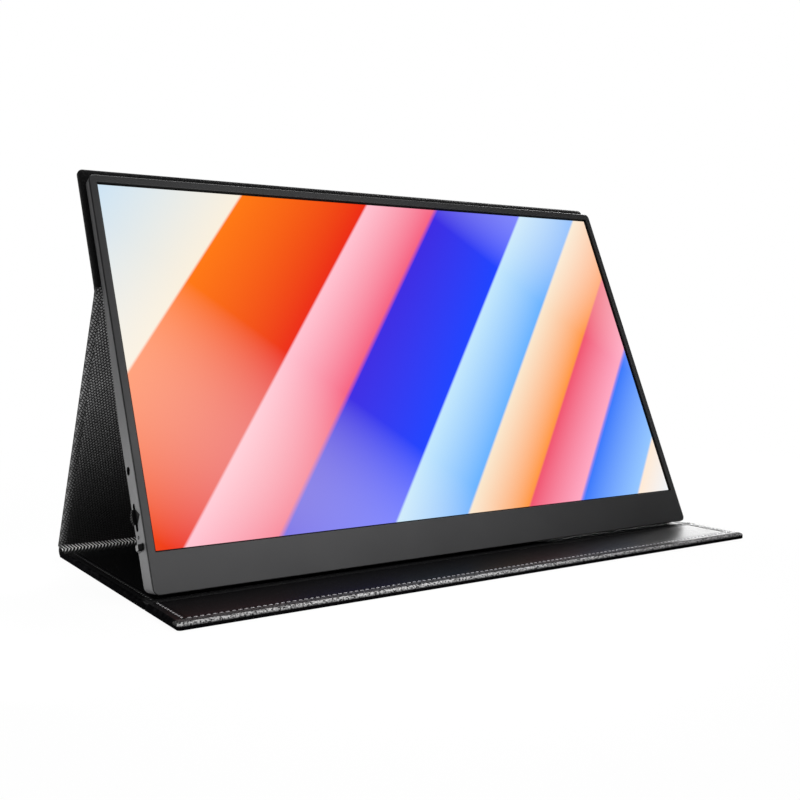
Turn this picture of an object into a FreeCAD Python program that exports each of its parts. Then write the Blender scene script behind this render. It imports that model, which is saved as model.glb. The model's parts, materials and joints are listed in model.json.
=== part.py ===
import FreeCAD, Part
import math
import os
from FreeCAD import Vector

# Portable monitor standing on its folding folio cover, in millimetres.
# The part's frame: X to the viewer's right, Y to the back, Z up; the origin is on the table
# under the middle of the folio's base.
# The monitor is modelled upright in its own frame, X across, Y back from the front face and
# Z up along the screen, and is leaned back at the end.

# Screen and front bezel
screen_width = 344.16
screen_height = 193.59
bezel_side = 4.3
bezel_top = 4.7
chin_height = 20.45
front_corner_radius = 3.0
bezel_thickness = 1.4
bezel_edge_bevel = 0.4
window_margin = 0.3
window_chamfer = 0.5
shadow_gap = 0.6
shadow_inset = 0.7
lug_count = 6
lug_length = 12.0
lug_thickness = 0.5
lug_height = 1.2
lug_clearance = 0.1

# Layers of the display, from the bezel to the back
tape_thickness = 0.2
glass_thickness = 1.0
films_thickness = 0.4
guide_thickness = 0.6
reflector_thickness = 0.15
chassis_wall = 0.3
glass_border = 1.0
glass_foot = 5.5
guide_foot = 2.5
chassis_clearance = 0.2
lamp_count = 20
lamp_length = 5.0
lamp_height = 1.6
lamp_strip_thickness = 0.45
lamp_strip_height = 2.4

# Rear cover
wall = 1.2
rib_height = 2.0
rib_thickness = 1.2
rib_count = 5
rib_pitch = 70.0
hump_depth = 13.2
ramp_length = 66.0
ramp_below_fold = 2.0
ramp_blend = 40.0
bottom_rise = 3.7
top_draft = 0.4
back_edge_round = 1.5
sound_slot_count = 8
sound_slot_pitch = 4.0
sound_slot_width = 1.2

# Boards
board_thickness = 1.0
boss_height = 1.7
boss_width = 4.4
board_screw_inset = 6.0
board_screw_radius = 0.7
board_screw_head_radius = 1.5
board_screw_head = 0.8
screw_clearance = 0.1
board_clearance = 0.1
main_board_length = 109.72
main_board_bottom = 23.0
main_board_top = 72.0
main_board_setback = 3.0
key_board_setback = 8.0
key_board_width = 18.0
key_board_margin = 9.0
driver_board_inset = 45.92
driver_board_bottom = 14.5
driver_board_top = 22.0
driver_board_thickness = 0.8
ribbon_thickness = 0.25
ribbon_width = 24.0
ribbon_bend = 1.0
ribbon_slope = 4.0
ribbon_lap = 6.0
key_cable_width = 8.0
key_cable_above_jog = 9.3
cable_lap = 10.0

# Chips: place as shares of the main board's length and height, then width, height, thickness
chip_table = (
    (0.50, 0.72, 14.0, 14.0, 1.4),
    (0.25, 0.78, 9.0, 6.0, 1.0),
    (0.68, 0.72, 6.0, 6.0, 1.0),
    (0.68, 0.34, 5.0, 7.0, 1.0),
    (0.79, 0.34, 5.5, 5.5, 2.2),
    (0.79, 0.66, 5.5, 5.5, 2.2),
)

# Sockets on the right wall
port_lift = 3.3
port_recess = 0.3
port_clearance = 0.15
port_wall = 0.35
port_length = 9.5
port_bay = 7.0
usb_width = 8.94
usb_thickness = 3.26
usb_end_flat = 0.02
usb_heights = {"usb_c_port_lower": 32.0, "usb_c_port_upper": 46.0}
usb_tongue_width = 6.7
usb_tongue_thickness = 0.7
hdmi_height = 61.0
hdmi_width = 11.2
hdmi_thickness = 3.2
hdmi_corner = 1.1
hdmi_tongue_width = 8.0
hdmi_tongue_thickness = 0.7

# Controls on the left wall, placed from the jog knob's height
jack_bore_radius = 1.8
jack_bore_length = 12.0
jack_width = 6.0
jack_thickness = 4.2
jack_end_wall = 1.2
jack_opening_radius = 2.2
jog_height = 38.8
jack_above_jog = 22.8
lamp_below_switch = 3.6
power_below_lamp = 5.1
jog_pivot_inset = 7.0
jog_protrusion = 2.2
jog_knob_height = 7.5
jog_knob_thickness = 2.4
jog_knob_shank = 4.6
jog_slot_height = 13.5
jog_slot_clearance = 0.3
jog_hub_radius = 2.0
jog_hub_thickness = 2.0
jog_pin_radius = 0.75
jog_pin_clearance = 0.1
jog_arm_height = 2.0
jog_cheek = 0.6
jog_cheek_height = 4.4
jog_side_clearance = 0.2
jog_carrier_reach = 2.2
jog_carrier_tail = 4.0
jog_bridge = 1.0
jog_press = 0.5
jog_switch_length = 4.0
jog_switch_height = 10.0
jog_switch_thickness = 4.2
jog_grip_count = 5
jog_grip_angle = 8.0
jog_grip_depth = 0.35
lamp_pipe_radius = 0.5
lamp_body_height = 2.0
lamp_body_thickness = 1.6
power_depth = 7.8
power_cap_depth = 7.2
power_cap_height = 3.4
power_corner = 0.8
power_protrusion = 0.8
power_crown = 0.4
power_clearance = 0.15
power_flange = 0.6
power_flange_room = 0.25
power_flange_thickness = 0.8
power_stem = 2.0
power_stem_length = 2.8
power_travel = 0.5
power_switch_length = 3.5
power_switch_height = 5.0
power_switch_thickness = 3.6
switch_gap = 0.1

# Speakers
speaker_inset = 65.92
speaker_length = 40.0
speaker_height = 12.0
speaker_bottom = 7.0
speaker_thickness = 4.0
speaker_corner = 3.0
speaker_rim = 1.2
speaker_recess = 1.0
speaker_dome = 0.6
speaker_slope = 0.5

# Case screws, which join the rear cover to the bezel's chin
case_screw_inset = 25.92
case_screw_height = 8.0
case_boss_width = 4.8
case_pillar = 1.8
case_screw_radius = 0.7
case_screw_reach = 3.0
case_head_radius = 1.8
case_head = 1.0
case_head_recess = 1.4

# Magnets that hold the folio's upper panel to the rear cover
magnet_places = (-105.0, -35.0, 35.0, 105.0)
magnet_length = 30.0
magnet_width = 10.0
docking_magnet_thickness = 0.6
panel_magnet_thickness = 1.0
base_magnet_from_fold = 16.0

# Folio
folio_side_margin = 5.42
upper_side_margin = 2.6
base_length = 172.9
lip_length = 39.3
panel_thickness = 3.4
skin_thickness = 0.8
lining_thickness = 0.8
hem_width = 5.0
crease_hem = 2.0
lay_gap = 0.05
panel_edge_bevel = 0.7
upper_margin = 7.5
upper_corner_radius = 4.0
lip_corner_radius = 2.0
upper_panel_length = 69.2
fold_leather = 1.2
rear_setback = 1.2
back_setback = 0.3
lip_setback = 0.8
welt_radius = 1.0
crease_radius = 0.5

# Stand pose
tilt_degrees = 23.73
monitor_from_front = 40.0
stand_clearance = 0.2

# Derived places of the monitor, in its own frame
half_width = screen_width / 2 + bezel_side
monitor_height = chin_height + screen_height + bezel_top
screen_top = chin_height + screen_height
fold_height = monitor_height + upper_margin - upper_panel_length
ramp_head = fold_height - ramp_below_fold
ramp_foot = ramp_head - ramp_length
magnet_height = (fold_height + monitor_height) / 2
glass_front = bezel_thickness + tape_thickness
glass_back = glass_front + glass_thickness
films_back = glass_back + films_thickness
guide_back = films_back + guide_thickness
reflector_back = guide_back + reflector_thickness
chassis_back = reflector_back + chassis_wall
top_depth = chassis_back + rib_height + wall
inner_back_high = top_depth - wall
inner_back_low = hump_depth - wall
inner_half = half_width - wall
port_depth = inner_back_low - port_lift
board_back = inner_back_low - boss_height
board_front = board_back - board_thickness
main_board_right = half_width - main_board_setback - wall
main_board_left = main_board_right - main_board_length
driver_board_half = half_width - driver_board_inset
speaker_offset = half_width - speaker_inset
case_screw_places = (case_screw_inset - half_width, half_width - case_screw_inset)
jack_height = jog_height + jack_above_jog
lamp_pipe_height = (jog_height - jog_switch_height / 2 - lamp_below_switch
                    - lamp_body_height / 2)
power_height = lamp_pipe_height - power_below_lamp
key_board_bottom = power_height - key_board_margin
key_board_top = jack_height + key_board_margin
key_board_left = key_board_setback - half_width
key_board_right = key_board_left + key_board_width
glass_half = screen_width / 2 + glass_border
glass_bottom = chin_height - glass_foot
glass_top = screen_top + glass_border
guide_bottom = chin_height - guide_foot
chassis_grow = chassis_clearance + chassis_wall
jog_pivot = jog_pivot_inset - half_width
jog_radius = jog_pivot_inset + jog_protrusion
mouth = half_width - port_recess
port_back = mouth - port_length
board_screw_places = {
    "main": [
        (main_board_left + board_screw_inset, main_board_top - board_screw_inset),
        (port_back - board_screw_inset, main_board_bottom + board_screw_inset),
        (port_back - board_screw_inset, main_board_top - board_screw_inset),
    ],
    "key": [
        (key_board_right - board_screw_inset / 2, key_board_top - board_screw_inset),
    ],
}

# Derived places of the folio, in the part's frame
folio_half = half_width + folio_side_margin
upper_half = half_width + upper_side_margin
tilt = math.radians(tilt_degrees)
base_rear = base_length / 2
base_front = -base_rear
lip_fold_y = base_front + lip_length
monitor_y = base_front + monitor_from_front
monitor_z = (panel_thickness + stand_clearance
             + hump_depth * math.sin(tilt) - bottom_rise * math.cos(tilt))
rear_axis = Vector(0, base_rear - panel_thickness, panel_thickness)
back_axis_local = Vector(0, top_depth + panel_thickness, fold_height)

AXIS_X = Vector(1, 0, 0)


def lean(shape):
    """Move a piece from the monitor's upright frame to its leaned place on the base."""
    leaned = shape.copy()
    leaned.rotate(Vector(0, 0, 0), AXIS_X, -tilt_degrees)
    leaned.translate(Vector(0, monitor_y, monitor_z))
    return leaned


def lean_point(point):
    """The same move for a point."""
    turned = FreeCAD.Rotation(AXIS_X, -tilt_degrees).multVec(point)
    return turned + Vector(0, monitor_y, monitor_z)


back_axis = lean_point(back_axis_local)
axis_span = back_axis - rear_axis
axis_distance = math.hypot(axis_span.y, axis_span.z)
strut_length = math.sqrt(axis_distance ** 2 - panel_thickness ** 2)
strut_degrees = math.degrees(
    math.atan2(axis_span.z, axis_span.y) + math.atan2(panel_thickness, strut_length))
apex_degrees = strut_degrees - (90 - tilt_degrees)


def on_plane(axis, level):
    """A map from two coordinates to a point of the plane across the named axis."""
    if axis == "x":
        return lambda a, b: Vector(level, a, b)
    if axis == "y":
        return lambda a, b: Vector(a, level, b)
    return lambda a, b: Vector(a, b, level)


def rounded_wire(corners, place):
    """Closed outline through corners (a, b, radius), each rounded by a tangent arc."""
    starts = []
    middles = []
    ends = []
    for index, (a, b, radius) in enumerate(corners):
        corner = Vector(a, b, 0)
        before = corners[index - 1]
        after = corners[(index + 1) % len(corners)]
        to_before = (Vector(before[0], before[1], 0) - corner).normalize()
        to_after = (Vector(after[0], after[1], 0) - corner).normalize()
        half_angle = to_before.getAngle(to_after) / 2
        reach = radius / math.tan(half_angle)
        inward = (to_before + to_after).normalize() * (radius / math.sin(half_angle) - radius)
        starts.append(corner + to_before * reach)
        middles.append(corner + inward)
        ends.append(corner + to_after * reach)
    edges = []
    for index, corner in enumerate(corners):
        begin = place(starts[index].x, starts[index].y)
        finish = place(ends[index].x, ends[index].y)
        if corner[2] > 0:
            middle = place(middles[index].x, middles[index].y)
            edges.append(Part.Arc(begin, middle, finish).toShape())
        follower = starts[(index + 1) % len(corners)]
        following = place(follower.x, follower.y)
        if finish.distanceToPoint(following) > 1e-6:
            edges.append(Part.LineSegment(finish, following).toShape())
    return Part.Wire(edges)


def prism(axis, low, high, corners):
    """Solid of an outline across the named axis, from low to high along it."""
    face = Part.Face(rounded_wire(corners, on_plane(axis, low)))
    along = {"x": Vector(1, 0, 0), "y": Vector(0, 1, 0), "z": Vector(0, 0, 1)}[axis]
    return face.extrude(along * (high - low))


def rectangle(a_low, a_high, b_low, b_high, radius=0.0):
    """Corners of a rectangle, all with one radius."""
    return [(a_low, b_low, radius), (a_high, b_low, radius),
            (a_high, b_high, radius), (a_low, b_high, radius)]


def centred(a, b, width, height, radius=0.0):
    """Corners of a rectangle around a centre."""
    return rectangle(a - width / 2, a + width / 2, b - height / 2, b + height / 2, radius)


def rod(axis, low, high, a, b, radius):
    """Cylinder along the named axis through the point (a, b) of the plane across it."""
    along = {"x": Vector(1, 0, 0), "y": Vector(0, 1, 0), "z": Vector(0, 0, 1)}[axis]
    return Part.makeCylinder(radius, high - low, on_plane(axis, low)(a, b), along)


def loop_edges(shape, axis, level):
    """Edges of a solid that lie wholly in one plane across the named axis."""
    def lies_there(edge):
        box = edge.BoundBox
        low = {"x": box.XMin, "y": box.YMin, "z": box.ZMin}[axis]
        high = {"x": box.XMax, "y": box.YMax, "z": box.ZMax}[axis]
        return abs(low - level) < 1e-6 and abs(high - level) < 1e-6
    return [edge for edge in shape.Edges if lies_there(edge)]


def join(pieces):
    """One solid of pieces that touch."""
    return pieces[0].fuse(pieces[1:]).removeSplitter()


# Folio panels, laid out flat: outer face down at Z 0, inner face up

def panel_corners(ends, halves, radii, inset, start_inset, end_inset):
    """Outline of a panel across X, drawn in by an inset at its sides and at each end.

    The ends, the half-widths at them and the radii of their corners are pairs.
    """
    start, end = ends
    slope = (halves[1] - halves[0]) / (end - start)
    near_side = halves[0] + slope * start_inset - inset
    far_side = halves[1] - slope * end_inset - inset
    near = max(radii[0] - start_inset, 0.0)
    far = max(radii[1] - end_inset, 0.0)
    return [(-near_side, start + start_inset, near), (near_side, start + start_inset, near),
            (far_side, end - end_inset, far), (-far_side, end - end_inset, far)]


def folio_panel(ends, halves, radii, start_hem, end_hem):
    """Skin turned over the edges, stiffening board and inner lining of one flat panel."""
    board_low = skin_thickness
    board_high = panel_thickness - lining_thickness
    block = prism("z", 0, panel_thickness, panel_corners(ends, halves, radii, 0, 0, 0))
    rims = loop_edges(block, "z", 0) + loop_edges(block, "z", panel_thickness)
    block = block.makeChamfer(panel_edge_bevel, rims)

    def layer(low, high, gap, side_inset, near_inset, far_inset):
        corners = panel_corners(ends, halves, radii, side_inset + gap, near_inset + gap,
                                far_inset + gap)
        return prism("z", low, high, corners)

    pocket = layer(board_low, board_high, 0, skin_thickness, skin_thickness, skin_thickness)
    recess = layer(board_high, panel_thickness, 0, hem_width, start_hem, end_hem)
    skin = block.cut([pocket, recess])
    board = layer(board_low, board_high, lay_gap, skin_thickness, skin_thickness, skin_thickness)
    lining = layer(board_high, panel_thickness, lay_gap, hem_width, start_hem, end_hem)
    return skin, board, lining


def magnet_bars(distance):
    """Bars let into a flat panel's board, flush with its inner face, and their pockets."""
    high = panel_thickness - lining_thickness
    low = high - panel_magnet_thickness
    bars = []
    for place in magnet_places:
        bars.append(prism("z", low, high, centred(place, distance, magnet_length, magnet_width)))
    return bars


def stand_strut(shape):
    """Raise a strut piece from flat to its place behind the monitor."""
    raised = shape.copy()
    raised.rotate(rear_axis, AXIS_X, strut_degrees)
    return raised


def cling(shape):
    """Put a flat piece that starts at the back fold's line against the rear cover's top."""
    upright = shape.copy()
    upright.rotate(Vector(0, 0, 0), AXIS_X, 90)
    upright.translate(back_axis_local)
    return lean(upright)


def make_folio():
    """Skins, boards, linings, magnets, welt and fold strips of the cover."""
    nodes = {}
    lip = folio_panel((base_front, lip_fold_y - lip_setback), (folio_half, folio_half),
                      (lip_corner_radius, 0.0), hem_width, crease_hem)
    nodes["lip_skin"], nodes["lip_board"], nodes["lip_lining"] = lip

    base = folio_panel((lip_fold_y + lip_setback, rear_axis.y - rear_setback),
                       (folio_half, folio_half), (0.0, 0.0), crease_hem, crease_hem)
    base_bars = magnet_bars(lip_fold_y + base_magnet_from_fold)
    nodes["base_skin"], base_board, nodes["base_lining"] = base
    nodes["base_board"] = base_board.cut(base_bars)
    nodes["base_magnets"] = Part.makeCompound(base_bars)

    strut = folio_panel((rear_axis.y + rear_setback, rear_axis.y + strut_length - back_setback),
                        (folio_half, upper_half), (0.0, 0.0), crease_hem, crease_hem)
    for name, piece in zip(("strut_skin", "strut_board", "strut_lining"), strut):
        nodes[name] = stand_strut(piece)

    upper = folio_panel((back_setback, upper_panel_length), (upper_half, upper_half),
                        (0.0, upper_corner_radius), crease_hem, hem_width)
    upper_bars = magnet_bars(magnet_height - fold_height)
    nodes["upper_panel_skin"] = cling(upper[0])
    nodes["upper_panel_board"] = cling(upper[1].cut(upper_bars))
    nodes["upper_panel_lining"] = cling(upper[2])
    nodes["upper_panel_magnets"] = cling(Part.makeCompound(upper_bars))

    nodes["rear_fold_strip"] = rear_fold_strip()
    nodes["rear_fold_welt"] = rod("x", hem_width - folio_half, folio_half - hem_width,
                                  rear_axis.y, rear_axis.z, welt_radius)
    nodes["back_fold_strip"] = back_fold_strip()
    nodes["lip_fold_strip"] = lip_fold_strip()
    return nodes


def rear_fold_strip():
    """Leather that wraps from the base's end round to the strut's end."""
    side = folio_half - panel_edge_bevel
    inner = panel_thickness - fold_leather
    section = Part.Face(rounded_wire(
        rectangle(-side, side, rear_axis.z - panel_thickness, rear_axis.z - inner),
        on_plane("y", rear_axis.y)))
    wrap = section.revolve(rear_axis, AXIS_X, strut_degrees)
    base_tab = prism("z", 0, fold_leather,
                     rectangle(-side, side, rear_axis.y - rear_setback, rear_axis.y))
    strut_tab = prism("z", 0, fold_leather,
                      rectangle(-side, side, rear_axis.y, rear_axis.y + rear_setback))
    return join([wrap, base_tab, stand_strut(strut_tab)])


def back_fold_strip():
    """Leather in the opening between the upper panel's lower end and the strut's upper end."""
    side = upper_half - panel_edge_bevel
    section = Part.Face(rounded_wire(
        rectangle(-side, side, back_axis_local.y - panel_edge_bevel - fold_leather,
                  back_axis_local.y - panel_edge_bevel),
        on_plane("z", fold_height)))
    return lean(section.revolve(back_axis_local, AXIS_X, apex_degrees))


def lip_fold_strip():
    """Flat leather between the base and the lip, with a pressed crease on the fold's line."""
    side = folio_half - panel_edge_bevel
    strip = prism("z", panel_thickness - fold_leather, panel_thickness,
                  rectangle(-side, side, lip_fold_y - lip_setback, lip_fold_y + lip_setback))
    return strip.cut(rod("x", -folio_half, folio_half, lip_fold_y, panel_thickness, crease_radius))


# Housing

def bottom_at(depth):
    """Height of the housing's slanted underside at a depth."""
    return bottom_rise * depth / hump_depth


def housing_solid(inset, front, blend):
    """Solid inside of the rear cover's outer walls, drawn in by an inset."""
    back_low = hump_depth - inset
    back_high = top_depth - inset
    top_front = monitor_height - inset - top_draft * front / top_depth
    profile = [
        (front, bottom_at(front) + inset, 0),
        (back_low, bottom_at(hump_depth) + inset, 0),
        (back_low, ramp_foot, blend),
        (back_high, ramp_head, blend),
        (back_high, monitor_height - top_draft - inset, 0),
        (front, top_front, 0),
    ]
    side = half_width - inset
    swept = prism("x", -side, side, profile)
    corners = []
    for edge in swept.Edges:
        box = edge.BoundBox
        if box.XLength < 1e-6 and abs(box.YMin - front) < 1e-6 and box.YLength > wall:
            corners.append(edge)
    return swept.makeFillet(front_corner_radius - inset, corners)


def back_rim_edges(solid):
    """Edges where the housing's back meets its side, top and bottom walls."""
    def faces_back(face):
        low_u, high_u, low_v, high_v = face.ParameterRange
        return face.normalAt((low_u + high_u) / 2, (low_v + high_v) / 2).y > 0.5

    rim = []
    for edge in solid.Edges:
        sides = [faces_back(face) for face in solid.ancestorsOfType(edge, Part.Face)]
        if len(sides) == 2 and sides[0] != sides[1]:
            if edge.BoundBox.YMin > bezel_thickness + 1e-6:
                rim.append(edge)
    return rim


def usb_outline(height, grow):
    """Rounded mouth of a USB-C socket."""
    thickness = usb_thickness + 2 * grow
    return centred(port_depth, height, thickness, usb_width + 2 * grow,
                   (thickness - usb_end_flat) / 2)


def hdmi_outline(grow):
    """Mouth of a mini HDMI socket, with its two cut corners to the back."""
    front = port_depth - hdmi_thickness / 2 - grow
    back = port_depth + hdmi_thickness / 2 + grow
    low = hdmi_height - hdmi_width / 2 - grow
    high = hdmi_height + hdmi_width / 2 + grow
    return [(front, low, 0), (back - hdmi_corner, low, 0), (back, low + hdmi_corner, 0),
            (back, high - hdmi_corner, 0), (back - hdmi_corner, high, 0), (front, high, 0)]


def power_outline(grow):
    """Face of the power button."""
    return centred(power_depth, power_height, power_cap_depth + 2 * grow,
                   power_cap_height + 2 * grow, power_corner)


def left_openings():
    """Cuts in the left wall for the jack, jog knob, lamp and power button."""
    outside = -half_width - wall
    inside = -half_width + 2 * wall
    jog_slot = centred(port_depth, jog_height, jog_knob_thickness + 2 * jog_slot_clearance,
                       jog_slot_height, jog_knob_thickness / 2)
    return [
        rod("x", outside, inside, port_depth, jack_height, jack_opening_radius),
        prism("x", outside, inside, jog_slot),
        rod("x", outside, inside, port_depth, lamp_pipe_height, lamp_pipe_radius + screw_clearance),
        prism("x", outside, inside, power_outline(power_clearance)),
    ]


def right_openings():
    """Cuts in the right wall for the sockets."""
    inside = half_width - 2 * wall
    outside = half_width + wall
    cuts = [prism("x", inside, outside, hdmi_outline(port_clearance))]
    for height in usb_heights.values():
        cuts.append(prism("x", inside, outside, usb_outline(height, port_clearance)))
    return cuts


def sound_slots():
    """Rows of slots in the back, behind both speakers."""
    cuts = []
    middle = speaker_bottom + speaker_height / 2
    span = (sound_slot_count - 1) * sound_slot_pitch
    for side in (-speaker_offset, speaker_offset):
        for index in range(sound_slot_count):
            across = side - span / 2 + index * sound_slot_pitch
            corners = centred(across, middle, sound_slot_width, speaker_height - 2 * speaker_rim)
            cuts.append(prism("y", inner_back_low - wall, hump_depth + wall, corners))
    return cuts


def make_rear_cover():
    """Moulded tray: thin top, ramp and deep lower part, with ribs, bosses and openings."""
    outer = housing_solid(0, bezel_thickness, ramp_blend)
    body = outer.makeFillet(back_edge_round, back_rim_edges(outer))
    hollow = housing_solid(wall, bezel_thickness, ramp_blend)
    tray = body.cut(hollow)

    added = []
    rib_top = monitor_height - wall
    for index in range(rib_count):
        across = (index - (rib_count - 1) / 2) * rib_pitch
        slab = prism("y", chassis_back, hump_depth,
                     rectangle(across - rib_thickness / 2, across + rib_thickness / 2,
                               ramp_foot, rib_top))
        added.append(slab.common(outer))
    for places in board_screw_places.values():
        for across, height in places:
            added.append(prism("y", board_back, inner_back_low + wall / 2,
                               centred(across, height, boss_width, boss_width)))
    for across in case_screw_places:
        added.append(prism("y", inner_back_low - case_pillar, inner_back_low + wall / 2,
                           centred(across, case_screw_height, case_boss_width, case_boss_width)))
    tray = join([tray] + added)

    cuts = left_openings() + right_openings() + sound_slots()
    for places in board_screw_places.values():
        for across, height in places:
            cuts.append(rod("y", board_back - wall, inner_back_low, across, height,
                            board_screw_radius))
    for across in case_screw_places:
        cuts.append(rod("y", board_front - case_pillar, hump_depth + wall, across,
                        case_screw_height, case_screw_radius + screw_clearance))
        cuts.append(rod("y", hump_depth - case_head_recess, hump_depth + wall, across,
                        case_screw_height, case_head_radius + screw_clearance))
    return tray.cut(cuts)


def make_front_bezel():
    """Front frame with its window, shadow step, side lugs and chin bosses."""
    outline = rectangle(-half_width, half_width, 0, monitor_height, front_corner_radius)
    plate = prism("y", 0, bezel_thickness - shadow_gap, outline)
    plate = plate.makeChamfer(bezel_edge_bevel, loop_edges(plate, "y", 0))
    step = rectangle(shadow_inset - half_width, half_width - shadow_inset, shadow_inset,
                     monitor_height - shadow_inset, front_corner_radius - shadow_inset)
    pieces = [plate, prism("y", bezel_thickness - shadow_gap, bezel_thickness, step)]

    window_half = screen_width / 2 + window_margin
    window = prism("y", -wall, bezel_thickness + wall,
                   rectangle(-window_half, window_half, chin_height - window_margin,
                             screen_top + window_margin))
    frame = join(pieces).cut(window)
    chamfer_edges = []
    for edge in loop_edges(frame, "y", 0):
        if edge.BoundBox.XMax < window_half + 1e-6 and edge.BoundBox.XMin > -window_half - 1e-6:
            if chin_height - window_margin - 1e-6 < edge.BoundBox.ZMin:
                if edge.BoundBox.ZMax < screen_top + window_margin + 1e-6:
                    chamfer_edges.append(edge)
    frame = frame.makeChamfer(window_chamfer, chamfer_edges)

    extras = []
    lug_outer = inner_half - lug_clearance
    lug_gap = screen_height / lug_count
    for index in range(lug_count):
        height = chin_height + lug_gap * (index + 0.5)
        for side in (-1, 1):
            across = side * (lug_outer - lug_thickness / 2)
            extras.append(prism("y", bezel_thickness, bezel_thickness + lug_height,
                                centred(across, height, lug_thickness, lug_length)))
    boss_end = inner_back_low - case_pillar
    for across in case_screw_places:
        extras.append(prism("y", bezel_thickness, boss_end,
                            centred(across, case_screw_height, case_boss_width, case_boss_width)))
    frame = join([frame] + extras)
    pilots = []
    for across in case_screw_places:
        pilots.append(rod("y", boss_end - case_screw_reach, boss_end, across,
                          case_screw_height, case_screw_radius))
    return frame.cut(pilots)


def make_case_screws():
    """Countersunk-in screws through the rear cover's pillars into the chin bosses."""
    seat = hump_depth - case_head_recess
    tip = inner_back_low - case_pillar - case_screw_reach
    screws = []
    for across in case_screw_places:
        shank = rod("y", tip, seat, across, case_screw_height, case_screw_radius)
        head = rod("y", seat, seat + case_head, across, case_screw_height, case_head_radius)
        screws.append(join([shank, head]))
    return Part.makeCompound(screws)


def make_docking_magnets():
    """Flat bars glued inside the rear cover's thin top."""
    bars = []
    for place in magnet_places:
        bars.append(prism("y", inner_back_high - docking_magnet_thickness, inner_back_high,
                          centred(place, magnet_height, magnet_length, magnet_width)))
    return Part.makeCompound(bars)


# Display

def display_sheet(front, back, half, bottom, top):
    """Rectangular sheet of the display."""
    return prism("y", front, back, rectangle(-half, half, bottom, top))


def make_display():
    """Tape, glass cell, films, guide, reflector, light bar and chassis."""
    nodes = {}
    window_half = screen_width / 2 + window_margin
    tape = display_sheet(bezel_thickness, glass_front, glass_half, glass_bottom, glass_top)
    opening = display_sheet(0, glass_back, window_half, chin_height - window_margin,
                            screen_top + window_margin)
    nodes["panel_tape"] = tape.cut(opening)
    nodes["lcd_glass"] = display_sheet(glass_front, glass_back, glass_half, glass_bottom, glass_top)
    nodes["optical_films"] = display_sheet(glass_back, films_back, glass_half, guide_bottom,
                                           glass_top)
    nodes["light_guide"] = display_sheet(films_back, guide_back, glass_half, guide_bottom,
                                         glass_top)
    nodes["reflector_sheet"] = display_sheet(guide_back, reflector_back, glass_half, glass_bottom,
                                             glass_top)
    nodes["led_light_bar"] = make_light_bar()
    outside = display_sheet(glass_front, chassis_back, glass_half + chassis_grow,
                            glass_bottom - chassis_grow, glass_top + chassis_grow)
    inside = display_sheet(0, reflector_back, glass_half + chassis_clearance,
                           glass_bottom - chassis_clearance, glass_top + chassis_clearance)
    nodes["panel_chassis"] = outside.cut(inside)
    return nodes


def make_light_bar():
    """Strip under the light guide's lower edge, with its row of small lamps."""
    strip_front = guide_back - lamp_strip_thickness
    strip_top = guide_bottom - lamp_height / 2
    strip = display_sheet(strip_front, guide_back, glass_half, strip_top - lamp_strip_height / 2,
                          strip_top)
    lamps = [strip]
    pitch = screen_width / lamp_count
    for index in range(lamp_count):
        across = (index - (lamp_count - 1) / 2) * pitch
        lamps.append(prism("y", films_back, strip_front,
                           rectangle(across - lamp_length / 2, across + lamp_length / 2,
                                     strip_top - lamp_strip_height / 2, strip_top)))
    return join(lamps)


# Boards, ribbon and cable

def board_with_holes(corners, places, notches):
    """Circuit board with its screw holes and edge notches."""
    board = prism("y", board_front, board_back, corners)
    cuts = list(notches)
    for across, height in places:
        cuts.append(rod("y", board_front, board_back, across, height,
                        board_screw_radius + screw_clearance))
    return board.cut(cuts)


def make_boards():
    """Main board, key board, driver board, their chips, screws, ribbon and cable."""
    nodes = {}
    inner_end = port_back - board_clearance
    notches = [prism("x", inner_end, half_width, hdmi_outline(board_clearance))]
    for height in usb_heights.values():
        notches.append(prism("x", inner_end, half_width, usb_outline(height, board_clearance)))
    nodes["main_board"] = board_with_holes(
        rectangle(main_board_left, main_board_right, main_board_bottom, main_board_top),
        board_screw_places["main"], notches)
    nodes["key_board"] = board_with_holes(
        rectangle(key_board_left, key_board_right, key_board_bottom, key_board_top),
        board_screw_places["key"], key_board_notches())
    nodes["board_chips"] = make_chips()
    nodes["board_screws"] = make_board_screws()
    nodes["driver_board"] = prism(
        "y", chassis_back, chassis_back + driver_board_thickness,
        rectangle(-driver_board_half, driver_board_half, driver_board_bottom, driver_board_top))
    nodes["display_ribbon"] = make_ribbon()
    cable_height = jog_height + key_cable_above_jog
    nodes["key_cable"] = prism(
        "y", board_front - ribbon_thickness, board_front,
        rectangle(key_board_right - cable_lap, main_board_left + cable_lap,
                  cable_height - key_cable_width / 2, cable_height + key_cable_width / 2))
    return nodes


def make_chips():
    """Scaler, memory, power and interface chips with two coils, on the main board's front."""
    long = main_board_right - main_board_left
    tall = main_board_top - main_board_bottom
    chips = []
    for along, up, width, height, thickness in chip_table:
        chips.append(prism("y", board_front - thickness, board_front,
                           centred(main_board_left + along * long, main_board_bottom + up * tall,
                                   width, height)))
    return Part.makeCompound(chips)


def make_board_screws():
    """Pan-head screws that hold both boards on their bosses."""
    screws = []
    for places in board_screw_places.values():
        for across, height in places:
            shank = rod("y", board_front, inner_back_low, across, height, board_screw_radius)
            head = rod("y", board_front - board_screw_head, board_front, across, height,
                       board_screw_head_radius)
            screws.append(join([shank, head]))
    return Part.makeCompound(screws)


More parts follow.
